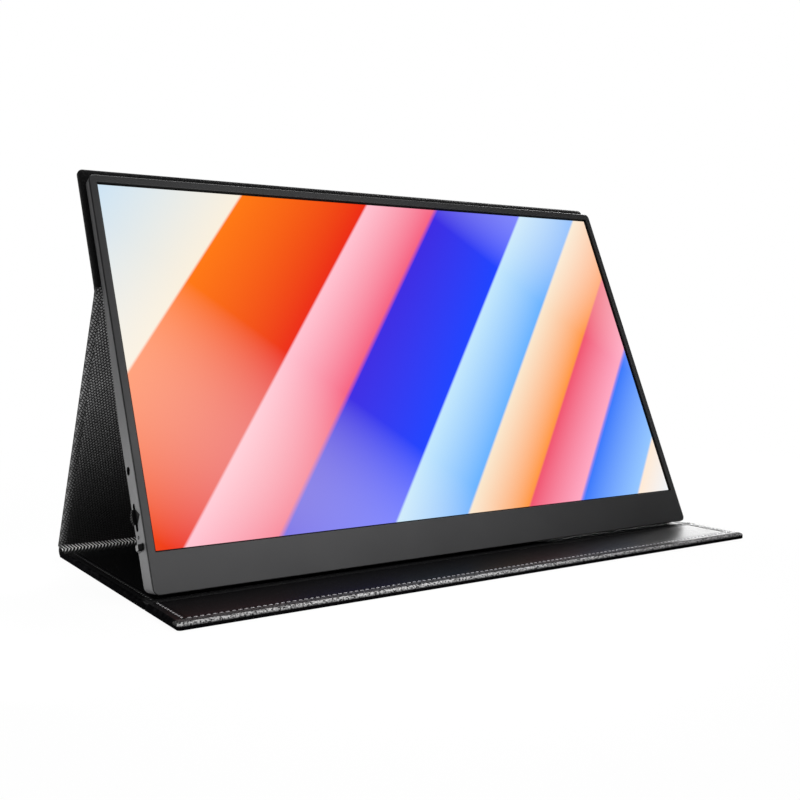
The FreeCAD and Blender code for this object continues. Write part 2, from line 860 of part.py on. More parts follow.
def make_ribbon():
    """Flat ribbon that steps from the driver board up onto the main board's front."""
    low_front = chassis_back + driver_board_thickness
    high_front = board_front - ribbon_thickness
    foot = (driver_board_bottom + driver_board_top) / 2
    step_low = driver_board_top + ribbon_bend
    step_high = main_board_bottom + ribbon_slope
    end = step_high + ribbon_lap
    profile = [
        (low_front, foot, 0),
        (low_front, step_low, ribbon_bend),
        (high_front, step_high, ribbon_bend),
        (high_front, end, 0),
        (high_front + ribbon_thickness, end, 0),
        (high_front + ribbon_thickness, step_high, ribbon_bend),
        (low_front + ribbon_thickness, step_low, ribbon_bend),
        (low_front + ribbon_thickness, foot, 0),
    ]
    across = (main_board_left + main_board_right) / 2 - ribbon_width
    return prism("x", across - ribbon_width / 2, across + ribbon_width / 2, profile)


# Sockets

def socket(outer, inner, tongue):
    """Metal shell with a closed end and the tongue that stands in its bay."""
    shell = prism("x", port_back, mouth, outer)
    shell = shell.cut(prism("x", mouth - port_bay, mouth, inner))
    return join([shell, prism("x", mouth - port_bay, mouth - port_wall, tongue)])


def make_sockets():
    """Two USB-C sockets and the mini HDMI socket on the right wall."""
    nodes = {}
    for name, height in usb_heights.items():
        tongue = centred(port_depth, height, usb_tongue_thickness, usb_tongue_width)
        nodes[name] = socket(usb_outline(height, 0), usb_outline(height, -port_wall), tongue)
    tongue = centred(port_depth, hdmi_height, hdmi_tongue_thickness, hdmi_tongue_width)
    nodes["mini_hdmi_port"] = socket(hdmi_outline(0), hdmi_outline(-port_wall), tongue)
    return nodes


# Controls

def jack_span():
    """Where the audio jack starts behind the left wall, and where it ends."""
    start = -half_width + wall + board_clearance
    return start, start + jack_bore_length + jack_end_wall


def jog_switch_span():
    """Front and back of the jog switch's rails and body along X."""
    rail_front = jog_pivot - jog_carrier_reach
    body_front = jog_pivot + jog_carrier_tail + jog_press + switch_gap
    return rail_front, body_front, body_front + jog_switch_length


def power_stem_end():
    """Inner end of the power button's stem."""
    return -half_width + wall + power_clearance + power_flange_thickness + power_stem_length


def key_board_notches():
    """Cuts in the key board's outer edge for the bodies that sit in it."""
    outside = -half_width
    low = board_front - wall
    high = board_back + wall
    bodies = [
        (jack_span()[1], jack_height, jack_width),
        (jog_switch_span()[2], jog_height, jog_switch_height),
        (power_stem_end() + power_travel + switch_gap + power_switch_length, power_height,
         power_switch_height),
    ]
    cuts = []
    for end, height, tall in bodies:
        half = tall / 2 + board_clearance
        cuts.append(prism("y", low, high, rectangle(outside, end + board_clearance,
                                                    height - half, height + half)))
    return cuts


def make_audio_jack():
    """Jack body with its plug bore, behind the round opening of the left wall."""
    start, end = jack_span()
    body = prism("x", start, end, centred(port_depth, jack_height, jack_thickness, jack_width))
    bore = rod("x", start, start + jack_bore_length, port_depth, jack_height, jack_bore_radius)
    return body.cut(bore)


def make_jog_lever():
    """Rocking knob on its hub, with grip grooves across its face."""
    half_angle = math.asin(jog_knob_height / 2 / jog_radius)
    reach = 2 * jog_radius
    wedge = prism("y", port_depth - jog_knob_thickness / 2, port_depth + jog_knob_thickness / 2,
                  [(jog_pivot, jog_height, 0),
                   (jog_pivot - reach, jog_height + reach * math.tan(half_angle), 0),
                   (jog_pivot - reach, jog_height - reach * math.tan(half_angle), 0)])
    front = port_depth - jog_knob_thickness
    back = port_depth + jog_knob_thickness
    knob = wedge.common(rod("y", front, back, jog_pivot, jog_height, jog_radius))
    knob = knob.cut(rod("y", front, back, jog_pivot, jog_height, jog_knob_shank))
    hub_low = port_depth - jog_hub_thickness / 2
    hub_high = port_depth + jog_hub_thickness / 2
    arm = prism("y", hub_low, hub_high,
                rectangle(jog_pivot - jog_knob_shank - wall, jog_pivot,
                          jog_height - jog_arm_height / 2, jog_height + jog_arm_height / 2))
    hub = rod("y", hub_low, hub_high, jog_pivot, jog_height, jog_hub_radius)
    lever = join([knob, arm, hub])
    cuts = [rod("y", front, back, jog_pivot, jog_height, jog_pin_radius + jog_pin_clearance)]
    for index in range(jog_grip_count):
        angle = math.radians((index - (jog_grip_count - 1) / 2) * jog_grip_angle)
        across = jog_pivot - jog_radius * math.cos(angle)
        height = jog_height + jog_radius * math.sin(angle)
        groove = prism("y", front, back, centred(across, height, 2 * jog_grip_depth,
                                                 2 * jog_grip_depth))
        groove.rotate(Vector(across, 0, height), Vector(0, 1, 0), 45 + math.degrees(angle))
        cuts.append(groove)
    return lever.cut(cuts)


def make_jog_carrier():
    """Sliding fork with the pin that the jog lever rocks on."""
    inner = jog_hub_thickness / 2 + jog_side_clearance
    outer = inner + jog_cheek
    tail = jog_pivot + jog_carrier_tail
    outline = rectangle(jog_pivot - jog_carrier_reach, tail, jog_height - jog_cheek_height / 2,
                        jog_height + jog_cheek_height / 2)
    block = prism("y", port_depth - outer, port_depth + outer, outline)
    gap = rectangle(jog_pivot - 2 * jog_carrier_reach, tail - jog_bridge,
                    jog_height - jog_cheek_height, jog_height + jog_cheek_height)
    fork = block.cut(prism("y", port_depth - inner, port_depth + inner, gap))
    pin = rod("y", port_depth - outer, port_depth + outer, jog_pivot, jog_height, jog_pin_radius)
    return join([fork, pin])


def make_jog_switch():
    """Switch body with two rails that guide the carrier."""
    rail_front, body_front, body_back = jog_switch_span()
    low = port_depth - jog_switch_thickness / 2
    high = port_depth + jog_switch_thickness / 2
    block = prism("y", low, high, centred((rail_front + body_back) / 2, jog_height,
                                          body_back - rail_front, jog_switch_height))
    channel = jog_cheek_height + 2 * jog_side_clearance
    return block.cut(prism("y", low, high, rectangle(
        rail_front, body_front, jog_height - channel / 2, jog_height + channel / 2)))


def make_power_button():
    """Cap with a bevelled crown, a retaining flange behind the display and a stem."""
    cap_front = -half_width - power_protrusion
    flange_front = -half_width + wall + power_clearance
    flange_back = flange_front + power_flange_thickness
    cap = prism("x", cap_front, flange_front, power_outline(0))
    cap = cap.makeChamfer(power_crown, loop_edges(cap, "x", cap_front))
    flange_half = power_cap_height / 2 + power_flange
    flange = prism("x", flange_front, flange_back,
                   rectangle(chassis_back + power_flange_room, power_depth + power_cap_depth / 2,
                             power_height - flange_half, power_height + flange_half))
    stem = prism("x", flange_back, power_stem_end(),
                 centred(port_depth, power_height, power_stem, power_stem))
    return join([cap, flange, stem])


def make_power_switch():
    """Push switch behind the power button's stem."""
    front = power_stem_end() + power_travel + switch_gap
    return prism("x", front, front + power_switch_length,
                 centred(port_depth, power_height, power_switch_thickness, power_switch_height))


def make_status_led():
    """Lamp body on the key board's edge with the light pipe that fills the wall's pinhole."""
    body_front = -half_width + 2 * wall
    pipe = rod("x", -half_width, body_front, port_depth, lamp_pipe_height, lamp_pipe_radius)
    body = prism("x", body_front, key_board_left,
                 centred(port_depth, lamp_pipe_height, lamp_body_thickness, lamp_body_height))
    return join([pipe, body])


def make_speaker(side):
    """Flat speaker: frame, sunk rim and crowned cone that faces the sound slots."""
    middle = speaker_bottom + speaker_height / 2
    across = side * speaker_offset
    front = inner_back_low - speaker_thickness
    frame = prism("y", front, inner_back_low,
                  centred(across, middle, speaker_length, speaker_height, speaker_corner))
    recess_length = speaker_length - 2 * speaker_rim
    recess_height = speaker_height - 2 * speaker_rim
    recess_floor = inner_back_low - speaker_recess
    frame = frame.cut(prism("y", recess_floor, inner_back_low,
                            centred(across, middle, recess_length, recess_height)))
    cone = prism("y", recess_floor, recess_floor + speaker_dome,
                 centred(across, middle, recess_length - 2 * speaker_rim,
                         recess_height - 2 * speaker_rim))
    cone = cone.makeChamfer(speaker_slope, loop_edges(cone, "y", recess_floor + speaker_dome))
    return join([frame, cone])


def make_monitor():
    """All pieces of the monitor, leaned back."""
    nodes = {
        "rear_cover": make_rear_cover(),
        "front_bezel": make_front_bezel(),
        "case_screws": make_case_screws(),
        "docking_magnets": make_docking_magnets(),
        "audio_jack": make_audio_jack(),
        "jog_lever": make_jog_lever(),
        "jog_carrier": make_jog_carrier(),
        "jog_switch": make_jog_switch(),
        "power_button": make_power_button(),
        "power_switch": make_power_switch(),
        "status_led": make_status_led(),
        "speaker_left": make_speaker(-1),
        "speaker_right": make_speaker(1),
    }
    nodes.update(make_display())
    nodes.update(make_boards())
    nodes.update(make_sockets())
    return {name: lean(piece) for name, piece in nodes.items()}


def main():
    os.makedirs("parts", exist_ok=True)
    nodes = make_folio()
    nodes.update(make_monitor())
    for name, shape in nodes.items():
        shape.exportStep("parts/" + name + ".step")


main()
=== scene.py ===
import json
import math

import bpy
import numpy as np
from mathutils import Matrix, Vector


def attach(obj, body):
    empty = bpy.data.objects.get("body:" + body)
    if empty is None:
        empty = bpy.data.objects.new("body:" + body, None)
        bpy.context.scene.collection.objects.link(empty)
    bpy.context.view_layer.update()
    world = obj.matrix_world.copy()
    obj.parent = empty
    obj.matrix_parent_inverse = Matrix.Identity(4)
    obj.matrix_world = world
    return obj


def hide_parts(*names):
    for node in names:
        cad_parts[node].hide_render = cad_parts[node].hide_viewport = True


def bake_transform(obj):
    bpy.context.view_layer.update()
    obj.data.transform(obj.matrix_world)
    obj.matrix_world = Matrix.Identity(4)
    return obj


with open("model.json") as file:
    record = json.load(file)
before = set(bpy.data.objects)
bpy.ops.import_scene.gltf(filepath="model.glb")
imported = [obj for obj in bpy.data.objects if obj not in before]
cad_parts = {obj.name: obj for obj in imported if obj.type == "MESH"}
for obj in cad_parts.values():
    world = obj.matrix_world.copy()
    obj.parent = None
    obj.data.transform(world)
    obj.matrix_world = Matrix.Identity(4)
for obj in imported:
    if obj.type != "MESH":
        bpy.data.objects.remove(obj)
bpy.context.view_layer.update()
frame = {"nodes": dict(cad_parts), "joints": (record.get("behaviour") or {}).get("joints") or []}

# Sizes in millimetres, repeated from the CAD
MM = 0.001
PANEL = 3.4
FOLIO_HALF = 181.8
UPPER_HALF = 178.98
TILT = math.radians(23.73)
BACK_LOCAL = (10.65, 157.04)
SCREEN_W = 344.16
SCREEN_H = 193.59
CHIN = 20.45
LIP = (-86.45, -47.95)
BASE = (-46.35, 81.85)
STRUT_SETBACK = 1.2
BACK_SETBACK = 0.3
UPPER_END = 69.2
UPPER_CORNER = 2.6
LIP_CORNER = 2.0
HALF_WIDTH = 176.38
PORT_DEPTH = 8.7
JACK_HEIGHT = 61.6
JOG_HEIGHT = 38.8
LAMP_HEIGHT = 29.2
POWER_HEIGHT = 24.1

joints = {joint["name"]: joint for joint in frame["joints"]}


def joint_place(name):
    """Y and Z of a fold's axis, in millimetres."""
    place = joints[name]["pos_m"]
    return place[1] / MM, place[2] / MM


REAR_AXIS = joint_place("strut_fold")
BACK_AXIS = joint_place("back_fold")
LIP_AXIS = joint_place("lip_fold")
span = (BACK_AXIS[0] - REAR_AXIS[0], BACK_AXIS[1] - REAR_AXIS[1])
STRUT_LENGTH = math.sqrt(span[0] ** 2 + span[1] ** 2 - PANEL ** 2)
STRUT_ANGLE = math.atan2(span[1], span[0]) + math.atan2(PANEL, STRUT_LENGTH)
APEX = STRUT_ANGLE - (math.pi / 2 - TILT)
STRUT = (REAR_AXIS[0] + STRUT_SETBACK, REAR_AXIS[0] + STRUT_LENGTH - BACK_SETBACK)
UPPER = (BACK_SETBACK, UPPER_END)
EVEN = (FOLIO_HALF, FOLIO_HALF)
TAPER = (FOLIO_HALF, UPPER_HALF)
NARROW = (UPPER_HALF, UPPER_HALF)


# From a panel's flat layout to its place: across, along and up from the outer face

def lie(points):
    """Lip and base lie as they were laid out."""
    return np.array(points, float)


def turn(y, z, axis, angle):
    """Turn places in the YZ plane about an axis along X."""
    cos, sin = math.cos(angle), math.sin(angle)
    dy, dz = y - axis[0], z - axis[1]
    return axis[0] + dy * cos - dz * sin, axis[1] + dy * sin + dz * cos


def raise_strut(points):
    """The strut is laid out behind the base and turned up about the rear fold."""
    placed = np.array(points, float)
    placed[:, 1], placed[:, 2] = turn(placed[:, 1], placed[:, 2], REAR_AXIS, STRUT_ANGLE)
    return placed


def cling(points):
    """The upper panel starts at the back fold and follows the monitor's back."""
    flat = np.array(points, float)
    placed = flat.copy()
    y, z = BACK_AXIS[0] - flat[:, 2], BACK_AXIS[1] + flat[:, 1]
    placed[:, 1], placed[:, 2] = turn(y, z, BACK_AXIS, -TILT)
    return placed


SHARP = math.radians(38)


def make_mesh(name, points, faces, flat, wear=None):
    """Mesh object from places in millimetres, with its flat layout kept as an attribute."""
    mesh = bpy.data.meshes.new(name)
    mesh.from_pydata((np.asarray(points, float) * MM).tolist(), [], faces)
    mesh.validate()
    layout = mesh.attributes.new("flat", "FLOAT_VECTOR", "POINT")
    layout.data.foreach_set("vector", np.asarray(flat, np.float32).ravel())
    worn = mesh.attributes.new("wear", "FLOAT", "POINT")
    if wear is not None:
        worn.data.foreach_set("value", np.asarray(wear, np.float32))
    mesh.update()
    mesh.shade_smooth()
    mesh.set_sharp_from_angle(angle=SHARP)
    piece = bpy.data.objects.new(name, mesh)
    bpy.context.scene.collection.objects.link(piece)
    return piece


def side_at(ends, halves, along):
    """Half-width of a panel at a place along it."""
    return halves[0] + (halves[1] - halves[0]) * (along - ends[0]) / (ends[1] - ends[0])


ARC_STEPS = 6
SIDE_STEPS = (56, 20, 56, 20)
LEAST_RADIUS = 0.15


def ring_outline(ends, halves, inset, near, far, radii):
    """Points round a panel's outline drawn in by an inset, near and far ends by their own."""
    low, high = ends[0] + near, ends[1] - far
    first, last = side_at(ends, halves, low) - inset, side_at(ends, halves, high) - inset
    corners = [(-first, low, 180, radii[0] - near), (first, low, 270, radii[0] - near),
               (last, high, 0, radii[1] - far), (-last, high, 90, radii[1] - far)]
    arcs = []
    for across, along, first, radius in corners:
        radius = max(radius, LEAST_RADIUS)
        centre = (across - math.copysign(radius, across),
                  along + (radius if along == low else -radius))
        arc = []
        for step in range(ARC_STEPS + 1):
            angle = math.radians(first + 90 * step / ARC_STEPS)
            arc.append((centre[0] + radius * math.cos(angle), centre[1] + radius * math.sin(angle)))
        arcs.append(arc)
    points = []
    for index, arc in enumerate(arcs):
        points += arc
        begin, finish = arc[-1], arcs[(index + 1) % 4][0]
        count = SIDE_STEPS[index]
        for step in range(1, count):
            share = step / count
            points.append((begin[0] + (finish[0] - begin[0]) * share,
                           begin[1] + (finish[1] - begin[1]) * share))
    return points


def ring_panel(name, place, ends, halves, rings, radii, ends_share, caps):
    """Closed panel from rings (inset, height, wear), which a face closes at each end."""
    flat = []
    wear = []
    faces = []
    for inset, height, worn in rings:
        outline = ring_outline(ends, halves, inset, inset * ends_share[0], inset * ends_share[1],
                               radii)
        flat += [(across, along, height) for across, along in outline]
        wear += [worn] * len(outline)
    rising = rings[-1][1] > rings[0][1]
    count = len(flat) // len(rings)
    for ring in range(len(rings) - 1):
        for index in range(count):
            after = (index + 1) % count
            low, high = ring * count, (ring + 1) * count
            faces.append((low + after, low + index, high + index, high + after))
    if caps[0]:
        faces.append(tuple(range(count)))
    if caps[1]:
        last = (len(rings) - 1) * count
        faces.append(tuple(range(last + count - 1, last - 1, -1)))
    if rising:
        faces = [face[::-1] for face in faces]
    return make_mesh(name, place(flat), faces, flat, wear)


# Rings of a panel's covers, from the inside round the edge to the back: how far in from the outline,
# how high above the outer face, and how worn
HEM = 7.2
STITCH_INSET = 5.1
HEM_RINGS = [
    (HEM + 0.6, 2.3, 0.0), (HEM + 0.4, 2.9, 0.0), (HEM + 0.15, 3.26, 0.1), (HEM - 0.25, 3.38, 0.3),
    (HEM - 0.9, 3.41, 0.1), (STITCH_INSET + 0.55, 3.40, 0.0), (STITCH_INSET + 0.25, 3.29, 0.0),
    (STITCH_INSET - 0.25, 3.29, 0.0), (STITCH_INSET - 0.55, 3.40, 0.0), (3.0, 3.42, 0.1),
    (1.9, 3.40, 0.3),
]
BACK_RINGS = [
    (0.0, 0.5, 0.5), (0.08, 0.22, 0.8), (0.25, 0.07, 0.8), (0.5, 0.0, 0.5), (1.9, 0.0, 0.3),
    (3.0, 0.0, 0.1), (STITCH_INSET - 0.55, 0.0, 0.0), (STITCH_INSET - 0.25, 0.11, 0.0),
    (STITCH_INSET + 0.25, 0.11, 0.0), (STITCH_INSET + 0.55, 0.0, 0.0), (HEM + 1.0, 0.0, 0.0),
]
EDGE_RINGS = [
    (1.1, 3.31, 0.8), (0.5, 3.05, 1.0), (0.15, 2.65, 0.8), (0.0, 2.1, 0.3), (0.0, 1.3, 0.3),
]
COVER_RINGS = HEM_RINGS + EDGE_RINGS + BACK_RINGS
INLAY_RINGS = [
    (HEM - 0.3, 2.4, 0.0), (HEM - 0.1, 3.12, 0.0), (HEM + 0.5, 3.24, 0.0), (HEM + 1.4, 3.27, 0.0),
    (HEM + 3.0, 3.28, 0.0),
]
# The strut's fabric wraps its sides down to the leather's lap on the back; its wear value is the
# distance from the side
STRIP = 3.4
LAP_RINGS = [(0.6, 0.9, 0.1), (0.2, 0.88, 0.3), (0.0, 0.75, 0.6)] + BACK_RINGS
CLOTH_RINGS = [
    (0.7, 0.6, -2.4), (0.16, 0.7, -2.0), (0.1, 1.3, -1.4), (0.1, 2.2, -0.5), (0.22, 2.7, 0.0),
    (0.5, 3.05, 0.45), (1.0, 3.31, 1.0), (1.7, 3.40, 1.7),
    (STRIP - 0.35, 3.40, STRIP - 0.35), (STRIP - 0.12, 3.30, STRIP - 0.12),
    (STRIP + 0.12, 3.30, STRIP + 0.12), (STRIP + 0.35, 3.40, STRIP + 0.35), (7.0, 3.41, 7.0),
]
# Share of a ring's inset at an end that folds, and at a free end
FOLD_SHARE = 0.28
FREE_SHARE = 1.25
BACK_HEIGHT = 0.3


def make_panel(name, body, place, ends, halves, radii, shares, rings, nodes, surfaces):
    """Leather cover with its turned hem, and the inlay inside the hem."""
    cover = ring_panel(name + "_cover", place, ends, halves, rings[0], radii, shares, (False, True))
    inlay = ring_panel(name + "_inlay", place, ends, halves, rings[1], radii, shares, (True, True))
    cover.data.materials.append(surfaces[0])
    cover.data.materials.append(back_leather)
    heights = [entry.vector[2] for entry in cover.data.attributes["flat"].data]
    for polygon in cover.data.polygons:
        polygon.material_index = int(max(heights[corner] for corner in polygon.vertices) < BACK_HEIGHT)
    inlay.data.materials.append(surfaces[1])
    for piece in (cover, inlay):
        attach(piece, body)
    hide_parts(*nodes[:2])
    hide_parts(nodes[2])


def stitch_lines(ends, halves, shares, free):
    """Runs of a panel's stitching: along both sides, and along each end that is free."""
    low = ends[0] + STITCH_INSET * shares[0]
    high = ends[1] - STITCH_INSET * shares[1]
    first = side_at(ends, halves, low) - STITCH_INSET
    last = side_at(ends, halves, high) - STITCH_INSET
    runs = [((-first, low), (-last, high)), ((first, low), (last, high))]
    if free[0]:
        runs.append(((-first, low), (first, low)))
    if free[1]:
        runs.append(((-last, high), (last, high)))
    return runs


STITCH_PITCH = 3.0
STITCH_LENGTH = 2.0
STITCH_HALF_WIDTH = 0.6
STITCH_HALF_HEIGHT = 0.2
STITCH_DIP = 0.22
STITCH_RINGS = ((-1.0, 0.35), (-0.8, 0.8), (-0.3, 1.0), (0.3, 1.0), (0.8, 0.8), (1.0, 0.35))
STITCH_SIDES = 6
# Height of a seam's thread above the outer face, and the way it bulges
INSIDE = (3.36, 1)
OUTSIDE = (0.21, -1)


def make_stitches(name, body, place, runs, faces_sewn, surface):
    """Rows of rounded stitches that lie in the seam's groove on the named faces."""
    flat = []
    faces = []
    for (begin, finish) in runs:
        length = math.dist(begin, finish)
        count = int(length // STITCH_PITCH)
        unit = ((finish[0] - begin[0]) / length, (finish[1] - begin[1]) / length)
        start = (length - (count - 1) * STITCH_PITCH) / 2
        for index in range(count):
            middle = start + index * STITCH_PITCH
            for level, up in faces_sewn:
                first = len(flat)
                for share, girth in STITCH_RINGS:
                    along = middle + share * STITCH_LENGTH / 2
                    sunk = level - up * STITCH_DIP * (1 - girth)
                    for side in range(STITCH_SIDES):
                        angle = 2 * math.pi * side / STITCH_SIDES
                        over = STITCH_HALF_WIDTH * girth * math.cos(angle)
                        rise = STITCH_HALF_HEIGHT * girth * math.sin(angle)
                        flat.append((begin[0] + unit[0] * along - unit[1] * over,
                                     begin[1] + unit[1] * along + unit[0] * over, sunk + rise))
                rings = len(STITCH_RINGS)
                for ring in range(rings - 1):
                    for side in range(STITCH_SIDES):
                        after = (side + 1) % STITCH_SIDES
                        a = first + ring * STITCH_SIDES
                        b = a + STITCH_SIDES
                        faces.append((a + side, a + after, b + after, b + side))
                faces.append(tuple(first + side for side in range(STITCH_SIDES - 1, -1, -1)))
                tail = first + (rings - 1) * STITCH_SIDES
                faces.append(tuple(tail + side for side in range(STITCH_SIDES)))
    piece = make_mesh(name, place(flat), faces, flat)
    piece.data.materials.append(surface)
    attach(piece, body)


STRIP_STEPS = 120


def sweep_strip(name, profile, layout, side, surface, lining=None, lined=0):
    """Closed section in the YZ plane carried across X; its first faces may have a lining."""
    points = []
    flat = []
    faces = []
    count = len(profile)
    for step in range(STRIP_STEPS + 1):
        across = -side + 2 * side * step / STRIP_STEPS
        points += [(across, y, z) for y, z in profile]
        flat += [(across, along, up) for along, up in layout]
    for step in range(STRIP_STEPS):
        for index in range(count):
            after = (index + 1) % count
            low, high = step * count, (step + 1) * count
            faces.append((low + index, low + after, high + after, high + index))
    faces.append(tuple(range(count - 1, -1, -1)))
    last = STRIP_STEPS * count
    faces.append(tuple(range(last, last + count)))
    piece = make_mesh(name, points, faces, flat)
    piece.data.materials.append(surface)
    if lining:
        piece.data.materials.append(lining)
        for polygon in piece.data.polygons[:last]:
            polygon.material_index = int(polygon.index % count < lined)
    return piece


# Materials

def linear(red, green, blue):
    """Linear colour from display values of 0 to 255."""
    parts = []
    for value in (red, green, blue):
        share = value / 255
        parts.append(share / 12.92 if share <= 0.04045 else ((share + 0.055) / 1.055) ** 2.4)
    return (*parts, 1.0)


class Shader:
    """A material's nodes, with short calls to add and join them."""

    def __init__(self, name, **sockets):
        self.material = bpy.data.materials.new(name)
        self.material.use_nodes = True
        self.tree = self.material.node_tree
        self.bsdf = self.tree.nodes["Principled BSDF"]
        for socket, value in sockets.items():
            self.bsdf.inputs[socket.replace("_", " ")].default_value = value

    def node(self, kind, inputs=(), **settings):
        """Add a node; each input is a value, or a socket to join."""
        made = self.tree.nodes.new("ShaderNode" + kind)
        for setting, value in settings.items():
            setattr(made, setting, value)
        for socket, value in dict(inputs).items():
            self.put(made.inputs[socket], value)
        return made

    def put(self, socket, value):
        if isinstance(value, bpy.types.NodeSocket):
            self.tree.links.new(value, socket)
        else:
            socket.default_value = value

    def maths(self, operation, first, second=0.0, third=0.0):
        """Result of a sum on numbers or sockets."""
        return self.node("Math", {0: first, 1: second, 2: third}, operation=operation).outputs[0]

    def ramp(self, factor, stops):
        """Colour from a factor, by stops (place, colour)."""
        made = self.node("ValToRGB", {"Fac": factor})
        elements = made.color_ramp.elements
        while len(elements) < len(stops):
            elements.new(0.5)
        for element, (place, colour) in zip(elements, stops):
            element.position = place
            element.color = colour
        return made.outputs["Color"]

    def mix(self, factor, first, second):
        """Colour between two."""
        made = self.node("Mix", {0: factor, 6: first, 7: second}, data_type="RGBA")
        return made.outputs[2]

    def between(self, value, low, high, to_low, to_high):
        """A number carried from one range to another."""
        return self.node("MapRange", {"Value": value, "From Min": low, "From Max": high,
                                      "To Min": to_low, "To Max": to_high}).outputs[0]

    def flat(self):
        """The piece's flat layout, in millimetres."""
        return self.node("Attribute", attribute_name="flat").outputs["Vector"]

    def place(self):
        """The object's own coordinates, in millimetres."""
        own = self.node("TexCoord").outputs["Object"]
        return self.node("VectorMath", {0: own, "Scale": 1 / MM}, operation="SCALE").outputs[0]

    def noise(self, vector, size, detail=2.0):
        """Even noise of about that size."""
        return self.node("TexNoise", {"Vector": vector, "Scale": 1 / size,
                                      "Detail": detail}).outputs["Fac"]

    def bump(self, height, distance):
        """Relief of that height, in millimetres, on the surface."""
        return self.node("Bump", {"Height": height, "Distance": distance * MM,
                                  "Strength": 1.0}).outputs[0]

    def set(self, **sockets):
        for socket, value in sockets.items():
            self.put(self.bsdf.inputs[socket.replace("_", " ")], value)
        return self.material


SCUFFED = (0.02, 0.02, 0.021, 1.0)
# Pale grey of the painted highlight grains along the lip's front edge
EDGE_HIGHLIGHT_GREY = (0.42, 0.42, 0.42, 1.0)
POLISH = 0.24
# Distances in from the lip's front edge, over which the polish starts, the painted highlight on the
# edge drops to a faint one, and the faint painted highlight on the hem ends
POLISH_START = (2.2, 4.6)
EDGE_HIGHLIGHT_END = (1.2, 1.9)
HEM_HIGHLIGHT_END = (5.4, 6.2)


def leather(name, dark, light, rough, grain, relief, specular, polish=None, front=None):
    """Pebbled leather with fine pores, worn at edges.

    It is polished above a height when one is given; along a front edge, pale grains are painted as a
    painted highlight on the edge's upper rounding and, fainter, on the hem, and the hem along it stays
    matt.
    """
    shader = Shader(name, Specular_IOR_Level=specular)
    at = shader.flat()
    warp = shader.node("TexNoise", {"Vector": at, "Scale": 0.5 / grain,
                                    "Detail": 1.0}).outputs["Color"]
    bent = shader.node("VectorMath", {0: warp, 1: (grain * 0.7,) * 3, 2: at},
                       operation="MULTIPLY_ADD").outputs[0]
    cells = shader.node("TexVoronoi", {"Vector": bent, "Scale": 1 / grain, "Smoothness": 0.35},
                        feature="SMOOTH_F1").outputs["Distance"]
    pebble = shader.between(cells, 0.12, 0.62, 1.0, 0.0)
    pores = shader.noise(at, grain * 0.22, 3.0)
    drift = shader.noise(at, 26.0, 2.0)
    height = shader.maths("MULTIPLY_ADD", pores, 0.25, pebble)
    worn = shader.node("Attribute", attribute_name="wear").outputs["Fac"]
    scuff = shader.maths("MULTIPLY", worn,
                         shader.between(shader.noise(at, 3.0, 4.0), 0.42, 0.7, 0.0, 1.0))
    colour = shader.mix(shader.maths("MULTIPLY", pebble, drift), dark, light)
    colour = shader.mix(shader.maths("MULTIPLY", scuff, 0.2), colour, SCUFFED)
    shine = shader.between(pebble, 0.0, 1.0, rough + 0.2, rough)
    shine = shader.maths("MULTIPLY_ADD", drift, 0.1, shader.maths("SUBTRACT", shine, 0.05))
    if polish is not None:
        parts = shader.node("SeparateXYZ", {0: at})
        coat = shader.between(parts.outputs[2], polish, polish + 0.08, 0.0, POLISH)
        if front is not None:
            inward = shader.maths("SUBTRACT", parts.outputs[1], front)
            coat = shader.maths("MULTIPLY", coat, shader.between(inward, *POLISH_START, 0.1, 1.0))
            # Painted highlight: pale grains on the front edge's upper rounding and, fainter, on the
            # hem behind it
            edge = shader.maths("MULTIPLY", shader.between(parts.outputs[2], 1.7, 2.7, 0.0, 1.0),
                                shader.between(inward, *EDGE_HIGHLIGHT_END, 1.0, 0.12))
            edge = shader.maths("MULTIPLY", edge, shader.between(inward, *HEM_HIGHLIGHT_END, 1.0, 0.0))
            highlight_grains = shader.between(shader.noise(at, 0.9, 2.0), 0.36, 0.6, 0.0, 1.0)
            colour = shader.mix(shader.maths("MULTIPLY", edge, highlight_grains), colour, EDGE_HIGHLIGHT_GREY)
        shader.set(Coat_Weight=coat, Coat_Normal=shader.bump(height, 0.05), Coat_Roughness=0.36,
                   Coat_IOR=1.5)
    return shader.set(Base_Color=colour, Roughness=shine, Normal=shader.bump(height, relief))


